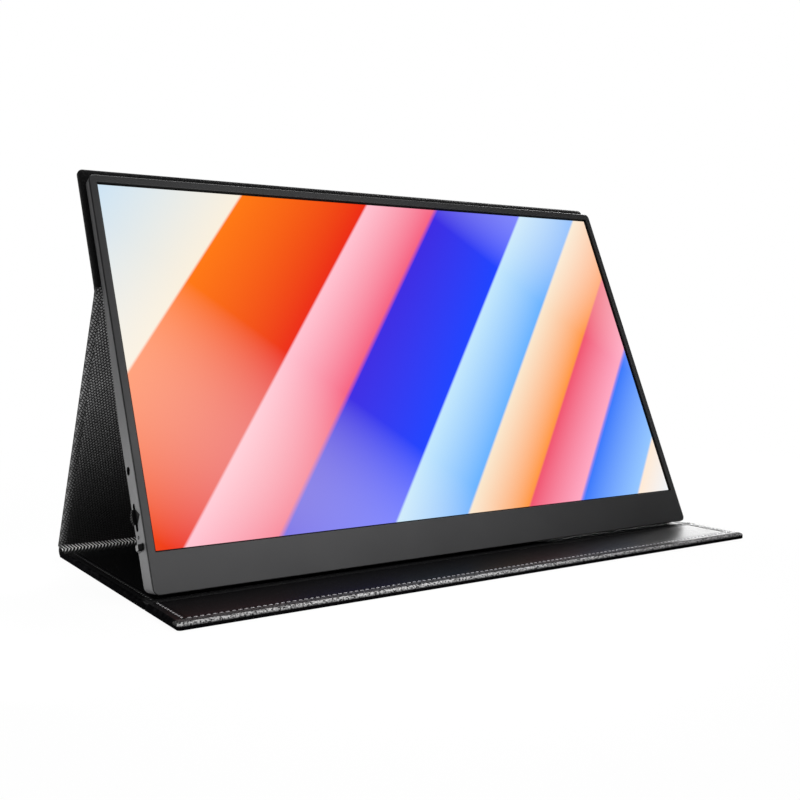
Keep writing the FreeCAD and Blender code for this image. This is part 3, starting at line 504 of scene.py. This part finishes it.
def twill(name, dark, light, pitch, length):
    """Diagonal woven ribs of short staggered floats, mirrored in a strip along the sides.

    Its colour carries a painted shade that darkens it towards the panel's start at the fold, to nearly
    black in the main field and less in the side strips.
    """
    shader = Shader(name, Specular_IOR_Level=0.15)
    at = shader.flat()
    parts = shader.node("SeparateXYZ", {0: at})
    side = shader.node("Attribute", attribute_name="wear").outputs["Fac"]
    main = shader.maths("GREATER_THAN", side, STRIP)
    lean = shader.maths("MULTIPLY_ADD", main, 2.0, -1.0)
    across = shader.maths("MULTIPLY", parts.outputs[0], lean)
    ribs = shader.node("CombineXYZ", {0: across, 1: parts.outputs[1], 2: 0.0}).outputs[0]
    turned = shader.node("Mapping", {"Vector": ribs,
                                     "Rotation": (0, 0, math.radians(-43))}).outputs[0]
    weave = shader.node("TexBrick", {"Vector": turned, "Scale": 1.0, "Mortar Size": pitch * 0.42,
                                     "Mortar Smooth": 1.0, "Brick Width": length,
                                     "Row Height": pitch})
    float_up = shader.maths("SUBTRACT", 1.0, weave.outputs["Fac"])
    lint = shader.noise(at, 0.35, 3.0)
    drift = shader.noise(at, 18.0, 2.0)
    # Painted shade: the cloth's colour darkens towards the strut's foot at the fold
    painted_fold_shade = shader.between(parts.outputs[1], STRUT[0] + 14.0, STRUT[1] - 50.0, 0.06, 1.0)
    painted_fold_shade = shader.maths("MAXIMUM", shader.maths("POWER", painted_fold_shade, 2.3),
                       shader.between(main, 0.0, 1.0, 0.3, 0.0))
    shade = shader.maths("MULTIPLY", float_up, shader.between(drift, 0.3, 0.7, 0.75, 1.0))
    colour = shader.mix(shader.maths("MULTIPLY", shade, painted_fold_shade), dark, light)
    height = shader.maths("MULTIPLY_ADD", lint, 0.15, float_up)
    shine = shader.between(float_up, 0.0, 1.0, 0.85, 0.55)
    return shader.set(Base_Color=colour, Roughness=shine, Normal=shader.bump(height, 0.22))


def herringbone(name, dark, light, tip, period):
    """Braid of arrowheads along the fold, with a painted highlight: near white at their tips on the
    fold's bend, fading along both arms.
    """
    shader = Shader(name, Specular_IOR_Level=0.2)
    at = shader.flat()
    parts = shader.node("SeparateXYZ", {0: at})
    above = shader.maths("SUBTRACT", parts.outputs[1], tip)
    lag = shader.maths("ADD", shader.maths("MAXIMUM", above, 0.0),
                       shader.maths("MULTIPLY", shader.maths("MINIMUM", above, 0.0), -0.5))
    along = shader.maths("DIVIDE", shader.maths("ADD", parts.outputs[0], lag), period)
    swell = shader.maths("COSINE", shader.maths("MULTIPLY", along, 2 * math.pi))
    arm = shader.between(swell, -0.1, 0.9, 0.0, 1.0)
    lint = shader.noise(at, 0.3, 3.0)
    # Painted highlight: the arrowheads are pale near their tips and fade along both arms
    tip_highlight = shader.maths("MULTIPLY", shader.between(above, 0.2, 4.0, 1.0, 0.0),
                        shader.between(above, -3.8, -0.3, 0.0, 1.0))
    tip_highlight = shader.maths("POWER", tip_highlight, 1.4)
    shade = shader.maths("MULTIPLY", shader.maths("MULTIPLY", arm, tip_highlight),
                         shader.between(lint, 0.2, 0.7, 0.75, 1.0))
    height = shader.maths("MULTIPLY_ADD", lint, 0.12, arm)
    return shader.set(Base_Color=shader.mix(shade, dark, light),
                      Roughness=shader.between(arm, 0.0, 1.0, 0.8, 0.5),
                      Normal=shader.bump(height, 0.2))


def plastic(name, colour, rough, speck, relief, specular, mark=None):
    """Moulded plastic with a fine spark-eroded texture.

    A mark (direction, distance, colour) tints what lies beyond that distance in its direction.
    """
    shader = Shader(name, Specular_IOR_Level=specular)
    at = shader.place()
    spark = shader.noise(at, speck, 3.0)
    drift = shader.noise(at, 40.0, 2.0)
    tone = shader.between(drift, 0.3, 0.7, 0.92, 1.08)
    grey = shader.node("VectorMath", {0: colour, "Scale": tone}, operation="SCALE").outputs[0]
    if mark is not None:
        direction, distance, tint = mark
        reach = shader.node("VectorMath", {0: at, 1: direction},
                            operation="DOT_PRODUCT").outputs["Value"]
        grey = shader.mix(shader.between(reach, distance, distance + 0.1, 0.0, 1.0), grey, tint)
    shine = shader.between(spark, 0.3, 0.7, rough - 0.06, rough + 0.06)
    return shader.set(Base_Color=grey, Roughness=shine, Normal=shader.bump(spark, relief))


def metal(name, colour, rough):
    """Sheet or plated metal with fine drawn lines."""
    shader = Shader(name, Metallic=1.0)
    at = shader.place()
    drawn = shader.node("Mapping", {"Vector": at, "Scale": (0.06, 1.0, 1.0)}).outputs[0]
    lines = shader.noise(drawn, 0.25, 3.0)
    tone = shader.between(lines, 0.3, 0.7, 0.88, 1.05)
    grey = shader.node("VectorMath", {0: colour, "Scale": tone}, operation="SCALE").outputs[0]
    shine = shader.between(lines, 0.3, 0.7, rough - 0.06, rough + 0.08)
    return shader.set(Base_Color=grey, Roughness=shine, Normal=shader.bump(lines, 0.01))


def circuit(name):
    """Lacquered board with copper runs that show through as lighter bands."""
    shader = Shader(name, Specular_IOR_Level=0.5)
    at = shader.place()
    runs = shader.node("TexBrick", {"Vector": at, "Scale": 1.0, "Mortar Size": 0.16,
                                    "Brick Width": 5.0, "Row Height": 1.1}).outputs["Fac"]
    drift = shader.noise(at, 9.0, 3.0)
    shown = shader.maths("MULTIPLY", runs, shader.between(drift, 0.45, 0.55, 0.0, 1.0))
    colour = shader.mix(shown, (0.010, 0.075, 0.035, 1.0), (0.03, 0.17, 0.075, 1.0))
    shine = shader.between(drift, 0.0, 1.0, 0.28, 0.42)
    return shader.set(Base_Color=colour, Roughness=shine, Normal=shader.bump(shown, 0.03))


def clear_sheet(name, colour, rough):
    """Light-carrying plastic sheet with a printed dot field."""
    shader = Shader(name, Specular_IOR_Level=0.5)
    at = shader.place()
    dots = shader.node("TexVoronoi", {"Vector": at, "Scale": 0.6,
                                      "Randomness": 0.0}).outputs["Distance"]
    spot = shader.between(dots, 0.2, 0.3, 1.0, 0.0)
    dim = tuple(part * 0.93 for part in colour[:3]) + (1.0,)
    return shader.set(Base_Color=shader.mix(spot, colour, dim),
                      Roughness=shader.between(spot, 0.0, 1.0, rough, rough + 0.15),
                      Normal=shader.bump(spot, 0.01))


def thread(name, dark, light):
    """Waxed sewing thread with its twist."""
    shader = Shader(name, Specular_IOR_Level=0.3)
    at = shader.flat()
    turned = shader.node("Mapping", {"Vector": at, "Rotation": (0, 0, math.radians(35))}).outputs[0]
    ply = shader.node("TexWave", {"Vector": turned, "Scale": 0.55, "Distortion": 0.6,
                                  "Detail": 1.0}).outputs["Fac"]
    return shader.set(Base_Color=shader.mix(ply, dark, light),
                      Roughness=shader.between(ply, 0.0, 1.0, 0.6, 0.38),
                      Normal=shader.bump(ply, 0.08))


# Foot of the monitor's front, the way into it, and its left
MONITOR = turn(BACK_AXIS[0] - BACK_LOCAL[0], BACK_AXIS[1] - BACK_LOCAL[1], BACK_AXIS, -TILT)
INTO = (0.0, math.cos(TILT), -math.sin(TILT))
FRONT = MONITOR[0] * INTO[1] + MONITOR[1] * INTO[2]
OUT_LEFT = (-1.0, 0.0, 0.0)

# Start of each pleat across the slant, then its colours at the fold and at the free edge
SLANT = -0.44
CELL_RIM = 0.25
PLEATS = [
    (-0.44, (206, 228, 244), (250, 240, 222)),
    (-0.20, (255, 120, 10), (236, 40, 8)),
    (0.04, (255, 196, 210), (246, 96, 128)),
    (0.19, (60, 40, 226), (24, 66, 255)),
    (0.39, (196, 232, 252), (104, 178, 255)),
    (0.53, (250, 232, 206), (255, 150, 60)),
    (0.66, (240, 84, 112), (255, 170, 196)),
    (0.78, (52, 118, 252), (150, 200, 255)),
    (0.92, (255, 234, 214), (240, 244, 248)),
]


def screen(name):
    """Lit panel: slanting pleats in warm and cool tones, with the dark rim of the cell."""
    shader = Shader(name, Specular_IOR_Level=0.02, Roughness=0.5, Emission_Strength=1.0)
    shader.bsdf.inputs["Base Color"].default_value = (0.003, 0.003, 0.003, 1.0)
    at = shader.node("VectorMath", {0: shader.place(), 1: (0, MONITOR[0], MONITOR[1])},
                     operation="SUBTRACT").outputs[0]
    up = shader.node("VectorMath", {0: at, 1: (0, math.sin(TILT), math.cos(TILT))},
                     operation="DOT_PRODUCT").outputs["Value"]
    across = shader.node("SeparateXYZ", {0: at}).outputs[0]
    u = shader.between(across, -SCREEN_W / 2, SCREEN_W / 2, 0.0, 1.0)
    v = shader.between(up, CHIN, CHIN + SCREEN_H, 0.0, 1.0)
    for number in (u, v):
        number.node.clamp = False

    slant = shader.maths("MULTIPLY_ADD", v, SLANT, u)
    low, high = PLEATS[0][0], 1.0
    stops = []
    for index, (start, fold, free) in enumerate(PLEATS):
        end = PLEATS[index + 1][0] if index + 1 < len(PLEATS) else high
        begin, finish = (start - low) / (high - low), (end - low) / (high - low)
        stops += [(begin + 0.0008, linear(*fold)), (finish - 0.0008, linear(*free))]
    picture = shader.ramp(shader.between(slant, low, high, 0.0, 1.0), stops)
    glow = shader.maths("SINE",
                        shader.maths("MULTIPLY_ADD", u, 5.0, shader.maths("MULTIPLY", v, 3.4)))
    picture = shader.mix(shader.between(glow, 0.1, 1.0, 0.0, 0.22), picture, linear(255, 250, 244))
    edge_u = shader.maths("COMPARE", u, 0.5, 0.5 - CELL_RIM / SCREEN_W)
    edge_v = shader.maths("COMPARE", v, 0.5, 0.5 - CELL_RIM / SCREEN_H)
    lit = shader.maths("MULTIPLY", edge_u, edge_v)
    return shader.set(Emission_Color=shader.mix(lit, (0.0, 0.0, 0.0, 1.0), picture))


BLACK = (0.0014, 0.0014, 0.0016, 1)
SOOT = (0.0045, 0.0045, 0.0048, 1)
cover_leather = leather("cover_leather", BLACK, SOOT, 0.5, 1.0, 0.14, 0.08)
back_leather = leather("back_leather", (0.003, 0.003, 0.0032, 1), (0.011, 0.011, 0.0115, 1), 0.42, 1.1,
                       0.2, 0.25)
base_leather = leather("base_leather", BLACK, SOOT, 0.55, 1.0, 0.1, 0.0, polish=3.32)
lip_leather = leather("lip_leather", BLACK, SOOT, 0.55, 1.0, 0.1, 0.0, polish=3.32,
                      front=LIP[0])
inner_leather = leather("inner_leather", BLACK, SOOT, 0.55, 0.9, 0.05, 0.0, polish=3.13)
strut_twill = twill("strut_twill", (0.0016, 0.0016, 0.0016, 1), (0.28, 0.28, 0.283, 1), 1.45, 1.65)
# The near white of the band is the painted highlight's colour
band_braid = herringbone("band_braid", (0.002, 0.002, 0.002, 1), (0.92, 0.92, 0.92, 1), 6.6,
                         1.9)
# Lit and shaded copies of one thread: the lip's rows are painted lighter as a painted highlight, the
# other rows darker as painted shade
thread_painted_lit = thread("thread_painted_lit", (0.04, 0.04, 0.042, 1), (0.3, 0.3, 0.31, 1))
thread_painted_dark = thread("thread_painted_dark", (0.003, 0.003, 0.003, 1), (0.015, 0.015, 0.016, 1))

# Folio panels

LEATHER_RINGS = (COVER_RINGS, INLAY_RINGS)
BAND_REACH = 9.4
make_panel("lip", "lip", lie, LIP, EVEN, (LIP_CORNER, 0), (FREE_SHARE, FOLD_SHARE), LEATHER_RINGS,
           ("lip_skin", "lip_board", "lip_lining"), (lip_leather, inner_leather, "base_lining"))
make_panel("base", "base", lie, BASE, EVEN, (0, 0), (FOLD_SHARE, FOLD_SHARE), LEATHER_RINGS,
           ("base_skin", "base_board", "base_lining"), (base_leather, inner_leather, "base_lining"))
make_panel("strut", "strut", raise_strut, STRUT, TAPER, (0, 0), (FOLD_SHARE, FOLD_SHARE),
           (LAP_RINGS, CLOTH_RINGS), ("strut_skin", "strut_board", "strut_lining"),
           (cover_leather, strut_twill, "folio_lining"))
make_panel("upper", "monitor", cling, UPPER, NARROW, (0, UPPER_CORNER), (FOLD_SHARE, 1.0),
           LEATHER_RINGS, ("upper_panel_skin", "upper_panel_board", "upper_panel_lining"),
           (cover_leather, cover_leather, "folio_lining"))

make_stitches("lip_stitching", "lip", lie,
              stitch_lines(LIP, EVEN, (FREE_SHARE, FOLD_SHARE), (True, False)), (INSIDE, OUTSIDE),
              thread_painted_lit)
make_stitches("base_stitching", "base", lie,
              stitch_lines((BASE[0], REAR_AXIS[0] - BAND_REACH), EVEN, (FOLD_SHARE, 0.0),
                           (False, False)),
              (INSIDE, OUTSIDE), thread_painted_dark)
make_stitches("strut_stitching", "strut", raise_strut,
              stitch_lines(STRUT, TAPER, (FOLD_SHARE, FOLD_SHARE), (False, False)), (OUTSIDE,),
              thread_painted_dark)
make_stitches("upper_stitching", "monitor", cling,
              stitch_lines(UPPER, NARROW, (FOLD_SHARE, 1.0), (False, True)), (INSIDE, OUTSIDE),
              thread_painted_dark)

# Fold leathers and the lining's band, shaped round the folds between two panels

FOLD_INSET = 0.7
FOLD_STEPS = 14
TAB = 5.0
LEATHER = 1.0


def wrap_profile():
    """Spine leather from under the base's end, round the rear fold and up the strut's back."""
    outer, inner, along = [], [], []
    for share in (1.0, 0.5):
        y = REAR_AXIS[0] - TAB * share
        outer.append((y, 0.03))
        inner.append((y, 0.03 + LEATHER))
        along.append(-TAB * share)
    radius = PANEL - 0.02
    for step in range(FOLD_STEPS + 1):
        angle = STRUT_ANGLE * step / FOLD_STEPS
        outer.append(turn(REAR_AXIS[0], REAR_AXIS[1] - radius, REAR_AXIS, angle))
        inner.append(turn(REAR_AXIS[0], REAR_AXIS[1] - radius + LEATHER, REAR_AXIS, angle))
        along.append(radius * angle)
    for share, lift in ((0.5, 0.1), (0.92, 0.1), (1.0, 0.0)):
        y = REAR_AXIS[0] + TAB * share
        outer.append(turn(y, -lift, REAR_AXIS, STRUT_ANGLE))
        inner.append(turn(y, LEATHER, REAR_AXIS, STRUT_ANGLE))
        along.append(radius * STRUT_ANGLE + TAB * share)
    profile = outer + inner[::-1]
    layout = [(REAR_AXIS[0] + place, 0.0) for place in along]
    return profile, layout + [(place, LEATHER) for place, _ in layout[::-1]]


profile, layout = wrap_profile()
rear_leather = sweep_strip("rear_fold_leather", profile, layout, FOLIO_HALF - FOLD_INSET,
                           back_leather)
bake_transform(rear_leather)
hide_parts("rear_fold_strip")


def band_profile():
    """Lining band stretched across the corner, from the base's rear margin to the strut's foot."""
    begin = (REAR_AXIS[0] - 8.6, 3.44)
    bend = (REAR_AXIS[0] - 1.6, 3.7)
    finish = turn(REAR_AXIS[0] + 3.4, REAR_AXIS[1] + 0.16, REAR_AXIS, STRUT_ANGLE)
    upper = [(begin[0] - 0.3, begin[1] - 0.12)]
    along = [0.0]
    steps = 18
    for step in range(steps + 1):
        share = step / steps
        point = tuple((1 - share) ** 2 * a + 2 * share * (1 - share) * b + share ** 2 * c
                      for a, b, c in zip(begin, bend, finish))
        along.append(along[-1] + math.dist(upper[-1], point))
        upper.append(point)
    upper.append(turn(REAR_AXIS[0] + 3.7, REAR_AXIS[1] - 0.08, REAR_AXIS, STRUT_ANGLE))
    along.append(along[-1] + math.dist(upper[-2], upper[-1]))
    lower = [(y + 0.1, z - 0.22) for y, z in upper]
    profile = (upper + lower[::-1])[::-1]
    layout = [(place, 0.0) for place in along]
    return profile, (layout + layout[::-1])[::-1]


profile, layout = band_profile()
band = sweep_strip("rear_fold_band", profile, layout, FOLIO_HALF - 0.9, band_braid)
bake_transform(band)
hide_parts("rear_fold_welt")


def knee_profile():
    """Leather that fills the fold between the upper panel and the strut and laps over both backs."""
    profile, layout = [], []
    for step in range(FOLD_STEPS + 1):
        angle = -TILT + APEX * (step / FOLD_STEPS * 1.4 - 0.2)
        puff = 3.2 - 0.35 * math.sin(math.pi * step / FOLD_STEPS)
        profile.append(turn(BACK_AXIS[0] - puff, BACK_AXIS[1], BACK_AXIS, angle))
    for out, along, angle in ((-0.9, -2.4, APEX), (0.02, -2.4, APEX), (0.12, -1.9, APEX),
                              (0.12, -0.9, APEX), (0.14, 0.0, APEX / 2), (0.12, 0.9, 0.0),
                              (0.12, 1.9, 0.0), (0.02, 2.4, 0.0), (-0.9, 2.4, 0.0)):
        profile.append(turn(BACK_AXIS[0] + out, BACK_AXIS[1] + along, BACK_AXIS, angle - TILT))
    length = 0.0
    for before, after in zip([profile[0]] + profile, profile):
        length += math.dist(before, after)
        layout.append((STRUT[1] + length, 0.0))
    return profile, layout


profile, layout = knee_profile()
knee = sweep_strip("back_fold_leather", profile, layout, UPPER_HALF - 0.1, back_leather, strut_twill,
                   FOLD_STEPS)
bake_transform(knee)
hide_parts("back_fold_strip")


def crease_profile():
    """Leather between base and lip, with the pressed crease on the fold's line."""
    upper, lower = [], []
    for step in range(-14, 15):
        offset = step * 0.2
        dip = 0.4 * math.exp(-(offset / 0.45) ** 2)
        upper.append((LIP_AXIS[0] + offset, 3.36 - dip))
        lower.append((LIP_AXIS[0] + offset, 2.3))
    profile = lower + upper[::-1]
    return profile, profile


profile, layout = crease_profile()
crease = sweep_strip("lip_fold_leather", profile, layout, FOLIO_HALF - FOLD_INSET, cover_leather)
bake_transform(crease)
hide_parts("lip_fold_strip")

# Finishes of the CAD pieces that stay

housing = plastic("housing_plastic", (0.09, 0.09, 0.092), 0.5, 0.3, 0.02, 0.15)
# Painted shade: all of the bezel deeper than 0.15 mm behind its front face is painted black, on its
# sides, round its window and in the shadow gap
bezel = plastic("bezel_plastic", (0.042, 0.042, 0.043), 0.5, 0.25, 0.018, 0.08,
                mark=(INTO, FRONT + 0.15, (0.0015, 0.0015, 0.0015, 1)))
jog_black = plastic("jog_plastic", (0.002, 0.002, 0.0021), 0.6, 0.3, 0.02, 0.05,
                    mark=(OUT_LEFT, HALF_WIDTH + 1.9, (0.025, 0.025, 0.025, 1)))
power_black = plastic("power_plastic", (0.002, 0.002, 0.0021), 0.6, 0.3, 0.02, 0.05,
                      mark=(OUT_LEFT, HALF_WIDTH + 3.05, (0.17, 0.17, 0.17, 1)))
# Black plastic, also used as painted shade in the wall's openings
black_and_painted_shade = plastic("black_plastic_and_painted_shade", (0.0015, 0.0015, 0.0015), 0.6, 0.3, 0.02, 0.05)
moulded = plastic("moulded_plastic", (0.004, 0.004, 0.0042), 0.55, 0.4, 0.02, 0.15)
nickel = metal("nickel_steel", (0.62, 0.61, 0.60), 0.28)
dark_steel = metal("dark_steel", (0.09, 0.09, 0.095), 0.35)
sheet_metal = metal("sheet_metal", (0.66, 0.66, 0.68), 0.38)
board = circuit("lacquered_board")
film = clear_sheet("diffuser_film", (0.86, 0.86, 0.87, 1), 0.45)
guide = clear_sheet("guide_acrylic", (0.82, 0.86, 0.88, 1), 0.12)
foam = plastic("foam_tape", (0.012, 0.012, 0.012), 0.8, 0.5, 0.05, 0.2)
amber = plastic("ribbon_film", (0.48, 0.19, 0.035), 0.35, 1.2, 0.01, 0.5)
lens = plastic("lamp_lens", (0.004, 0.004, 0.005), 0.3, 1.0, 0.005, 0.2)

finishes = {
    housing: ("rear_cover", "power_button"),
    bezel: ("front_bezel",),
    screen("lit_screen"): ("lcd_glass",),
    jog_black: ("jog_lever",),
    black_and_painted_shade: ("audio_jack",),
    moulded: ("jog_switch", "jog_carrier", "power_switch", "board_chips", "speaker_left",
              "speaker_right"),
    nickel: ("usb_c_port_lower", "usb_c_port_upper", "mini_hdmi_port", "base_magnets",
             "upper_panel_magnets", "docking_magnets"),
    dark_steel: ("case_screws", "board_screws"),
    sheet_metal: ("panel_chassis",),
    board: ("main_board", "key_board", "driver_board", "led_light_bar"),
    film: ("optical_films", "reflector_sheet"),
    guide: ("light_guide",),
    foam: ("panel_tape",),
    amber: ("display_ribbon", "key_cable"),
    lens: ("status_led",),
}
for surface, names in finishes.items():
    for name in names:
        slots = frame["nodes"][name].data.materials
        slots.clear()
        slots.append(surface)


def on_wall(out, depth, height):
    """A place on the monitor's left wall: out from it, behind the front and above the bottom."""
    return (-HALF_WIDTH - out,
            MONITOR[0] + depth * math.cos(TILT) + height * math.sin(TILT),
            MONITOR[1] - depth * math.sin(TILT) + height * math.cos(TILT))


ROUND_STEPS = 8


def stadium(depth, height, wide, tall):
    """Outline of a slot with round ends, or of a round hole when it is as wide as tall."""
    radius = wide / 2
    points = []
    for end, first in ((1, 0), (-1, 180)):
        for step in range(ROUND_STEPS + 1):
            angle = math.radians(first + 180 * step / ROUND_STEPS)
            points.append((depth + radius * math.cos(angle),
                           height + end * (tall / 2 - radius) + radius * math.sin(angle)))
    return points


def loft(name, body, rings, surface, closed):
    """Skin over rings on the left wall: capped at both ends, or closed on itself as a tube."""
    count = len(rings[0])
    points = [point for ring in rings for point in ring]
    faces = []
    for ring in range(len(rings) if closed else len(rings) - 1):
        low, high = ring * count, (ring + 1) % len(rings) * count
        for step in range(count):
            after = (step + 1) % count
            faces.append((low + step, low + after, high + after, high + step))
    if not closed:
        last = (len(rings) - 1) * count
        faces += [tuple(range(count - 1, -1, -1)), tuple(range(last, last + count))]
    piece = make_mesh(name, points, faces, points)
    piece.data.materials.append(surface)
    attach(piece, body)


def make_sleeve(name, height, wide, tall, thick, ends):
    """Black sleeve in or round an opening of the left wall, between two distances out from it; a
    painted shade that makes the opening dark.
    """
    rings = []
    for out, inset in ((ends[1], 0.0), (ends[1], thick), (ends[0], thick), (ends[0], 0.0)):
        outline = stadium(PORT_DEPTH, height, wide - 2 * inset, tall - 2 * inset)
        rings.append([on_wall(out, *point) for point in outline])
    loft(name, "monitor", rings, black_and_painted_shade, True)


EDGE_STEPS = 4


def make_plate(name, tip, foot, half_height):
    """Thin black point beside the jog slot; both make the lozenge that the knob stands in."""
    rings = []
    way = math.copysign(1.0, foot - tip)
    for out, inset in ((-0.02, 0.0), (0.22, 0.0), (0.3, 0.12)):
        back, rise = foot - way * inset, half_height - inset * 1.4
        corners = [(back, JOG_HEIGHT + rise), (tip + way * inset * 1.6, JOG_HEIGHT),
                   (back, JOG_HEIGHT - rise)]
        outline = []
        for begin, finish in zip(corners, corners[1:] + corners[:1]):
            outline += [tuple(a + (b - a) * step / EDGE_STEPS for a, b in zip(begin, finish))
                        for step in range(EDGE_STEPS)]
        rings.append([on_wall(out, *point) for point in outline[::int(way)]])
    loft(name, "monitor", rings, black_and_painted_shade, False)


PUSHER_PLACE = (4.5, POWER_HEIGHT - 0.5)
PUSHER_HALF = (1.65, 1.45)
PUSHER_CORNER = 0.5


def make_pusher():
    """Raised block of the power button."""
    rings = []
    for out, inset in ((0.6, 0.0), (2.95, 0.0), (3.15, 0.08), (3.22, 0.3)):
        outline = []
        for sides, first in (((1, 1), 0), ((-1, 1), 90), ((-1, -1), 180), ((1, -1), 270)):
            centre = [place + side * (half - inset - PUSHER_CORNER)
                      for place, side, half in zip(PUSHER_PLACE, sides, PUSHER_HALF)]
            for step in range(EDGE_STEPS + 1):
                angle = math.radians(first + 90 * step / EDGE_STEPS)
                outline.append((centre[0] + PUSHER_CORNER * math.cos(angle),
                                centre[1] + PUSHER_CORNER * math.sin(angle)))
        rings.append([on_wall(out, *point) for point in outline])
    loft("power_pusher", "power_button", rings, power_black, False)


# Painted shade: black sleeves line the jack and jog openings, and a black ring lies in the lamp's hole
make_sleeve("jack_sleeve", JACK_HEIGHT, 4.36, 4.36, 0.3, (-1.1, 0.02))
make_sleeve("jog_sleeve", JOG_HEIGHT, 2.96, 13.46, 0.05, (-1.1, 0.02))
make_sleeve("lamp_ring", LAMP_HEIGHT, 1.9, 1.9, 0.5, (-0.02, 0.06))
make_plate("jog_front_point", 2.7, 7.1, 3.4)
make_plate("jog_rear_point", 12.2, 10.3, 2.4)
make_pusher()

# Floor, light and camera

bpy.context.scene.view_settings.view_transform = "Standard"


def shown_rays(tree):
    """One where the eye looks straight, through a mirror or through glass; nought for light."""
    rays = tree.nodes.new("ShaderNodeLightPath")
    found = rays.outputs["Is Camera Ray"]
    for kind in ("Is Glossy Ray", "Is Transmission Ray"):
        either = tree.nodes.new("ShaderNodeMath")
        either.operation = "MAXIMUM"
        tree.links.new(found, either.inputs[0])
        tree.links.new(rays.outputs[kind], either.inputs[1])
        found = either.outputs[0]
    return found


FLOOR_HALF = 6.0
AMBIENT = 0.07


def make_floor():
    """Large pale floor, white as seen, that keeps a faint shadow near the object."""
    shader = Shader("pale_floor", Specular_IOR_Level=0.0, Roughness=0.9)
    at = shader.place()
    tone = shader.between(shader.noise(at, 300.0, 2.0), 0.3, 0.7, 0.795, 0.805)
    shader.set(Base_Color=shader.node("CombineColor", {0: tone, 1: tone, 2: tone}).outputs[0])
    away = shader.node("VectorMath", {0: at}, operation="LENGTH").outputs["Value"]
    blank = shader.between(away, 220.0, 600.0, 0.96, 1.0)
    share = shader.maths("MULTIPLY", shown_rays(shader.tree), blank)
    white = shader.node("Emission", {"Color": (1.0, 1.0, 1.0, 1.0), "Strength": 1.0})
    joined = shader.node("MixShader", {0: share, 1: shader.bsdf.outputs[0], 2: white.outputs[0]})
    shader.tree.links.new(joined.outputs[0], shader.tree.nodes["Material Output"].inputs["Surface"])
    reach = FLOOR_HALF
    mesh = bpy.data.meshes.new("floor")
    mesh.from_pydata([(-reach, -reach, 0), (reach, -reach, 0), (reach, reach, 0), (-reach, reach, 0)],
                     [], [(0, 1, 2, 3)])
    mesh.materials.append(shader.material)
    floor = bpy.data.objects.new("floor", mesh)
    floor.location.z = -0.0001
    bpy.context.scene.collection.objects.link(floor)


def make_world():
    """White surroundings as seen, and a dimmer even light from them."""
    world = bpy.data.worlds.new("studio")
    world.use_nodes = True
    tree = world.node_tree
    level = tree.nodes.new("ShaderNodeMapRange")
    level.inputs["To Min"].default_value = AMBIENT
    level.inputs["To Max"].default_value = 1.0
    tree.links.new(shown_rays(tree), level.inputs["Value"])
    background = tree.nodes["Background"]
    background.inputs["Color"].default_value = (1.0, 1.0, 1.0, 1.0)
    tree.links.new(level.outputs[0], background.inputs["Strength"])
    bpy.context.scene.world = world


def make_lamp(name, place, target, size, power):
    """Soft lamp of a width and a height in metres, aimed at a point."""
    light = bpy.data.lights.new(name, "AREA")
    light.shape = "RECTANGLE"
    light.size, light.size_y = size
    light.energy = power
    lamp = bpy.data.objects.new(name, light)
    lamp.location = place
    lamp.rotation_euler = (Vector(target) - Vector(place)).to_track_quat("-Z", "Y").to_euler()
    lamp.visible_camera = False
    bpy.context.scene.collection.objects.link(lamp)


make_floor()
make_world()
make_lamp("key_lamp", (-0.05, -0.187, 0.176), (-0.12, -0.03, 0.06), (0.12, 0.12), 0.6)
make_lamp("side_lamp", (-0.297, -0.068, 0.016), (-0.176, -0.01, 0.03), (0.12, 0.03), 0.165)
make_lamp("back_lamp", (0.15, 0.9, 1.2), (0.0, 0.05, 0.1), (1.0, 1.0), 12.0)
make_lamp("glow_lamp", (0.95, 0.6, 0.2), (0.15, -0.05, 0.02), (0.5, 0.35), 12.0)
make_lamp("edge_lamp", (0.9, 0.45, 0.9), (0.15, -0.08, 0.0), (0.2, 0.2), 13.0)
make_lamp("fold_lamp", (-0.24, 0.06, 0.035), (-0.15, 0.082, 0.004), (0.05, 0.05), 0.07)

camera_data = bpy.data.cameras.new("camera")
camera_data.sensor_width = 36.0
camera_data.lens = 46.848
camera_data.shift_x = 0.0483
camera_data.shift_y = -0.0324
camera_data.clip_start = 0.01
camera = bpy.data.objects.new("camera", camera_data)
forward = Vector((0.53512, 0.84374, -0.04182)).normalized()
right = forward.cross(Vector((0, 0, 1))).normalized()
overhead = right.cross(forward)
camera.matrix_world = Matrix((
    (right.x, overhead.x, -forward.x, -346.60 * MM),
    (right.y, overhead.y, -forward.y, -488.88 * MM),
    (right.z, overhead.z, -forward.z, 125.23 * MM),
    (0, 0, 0, 1)))
bpy.context.scene.collection.objects.link(camera)
bpy.context.scene.camera = camera
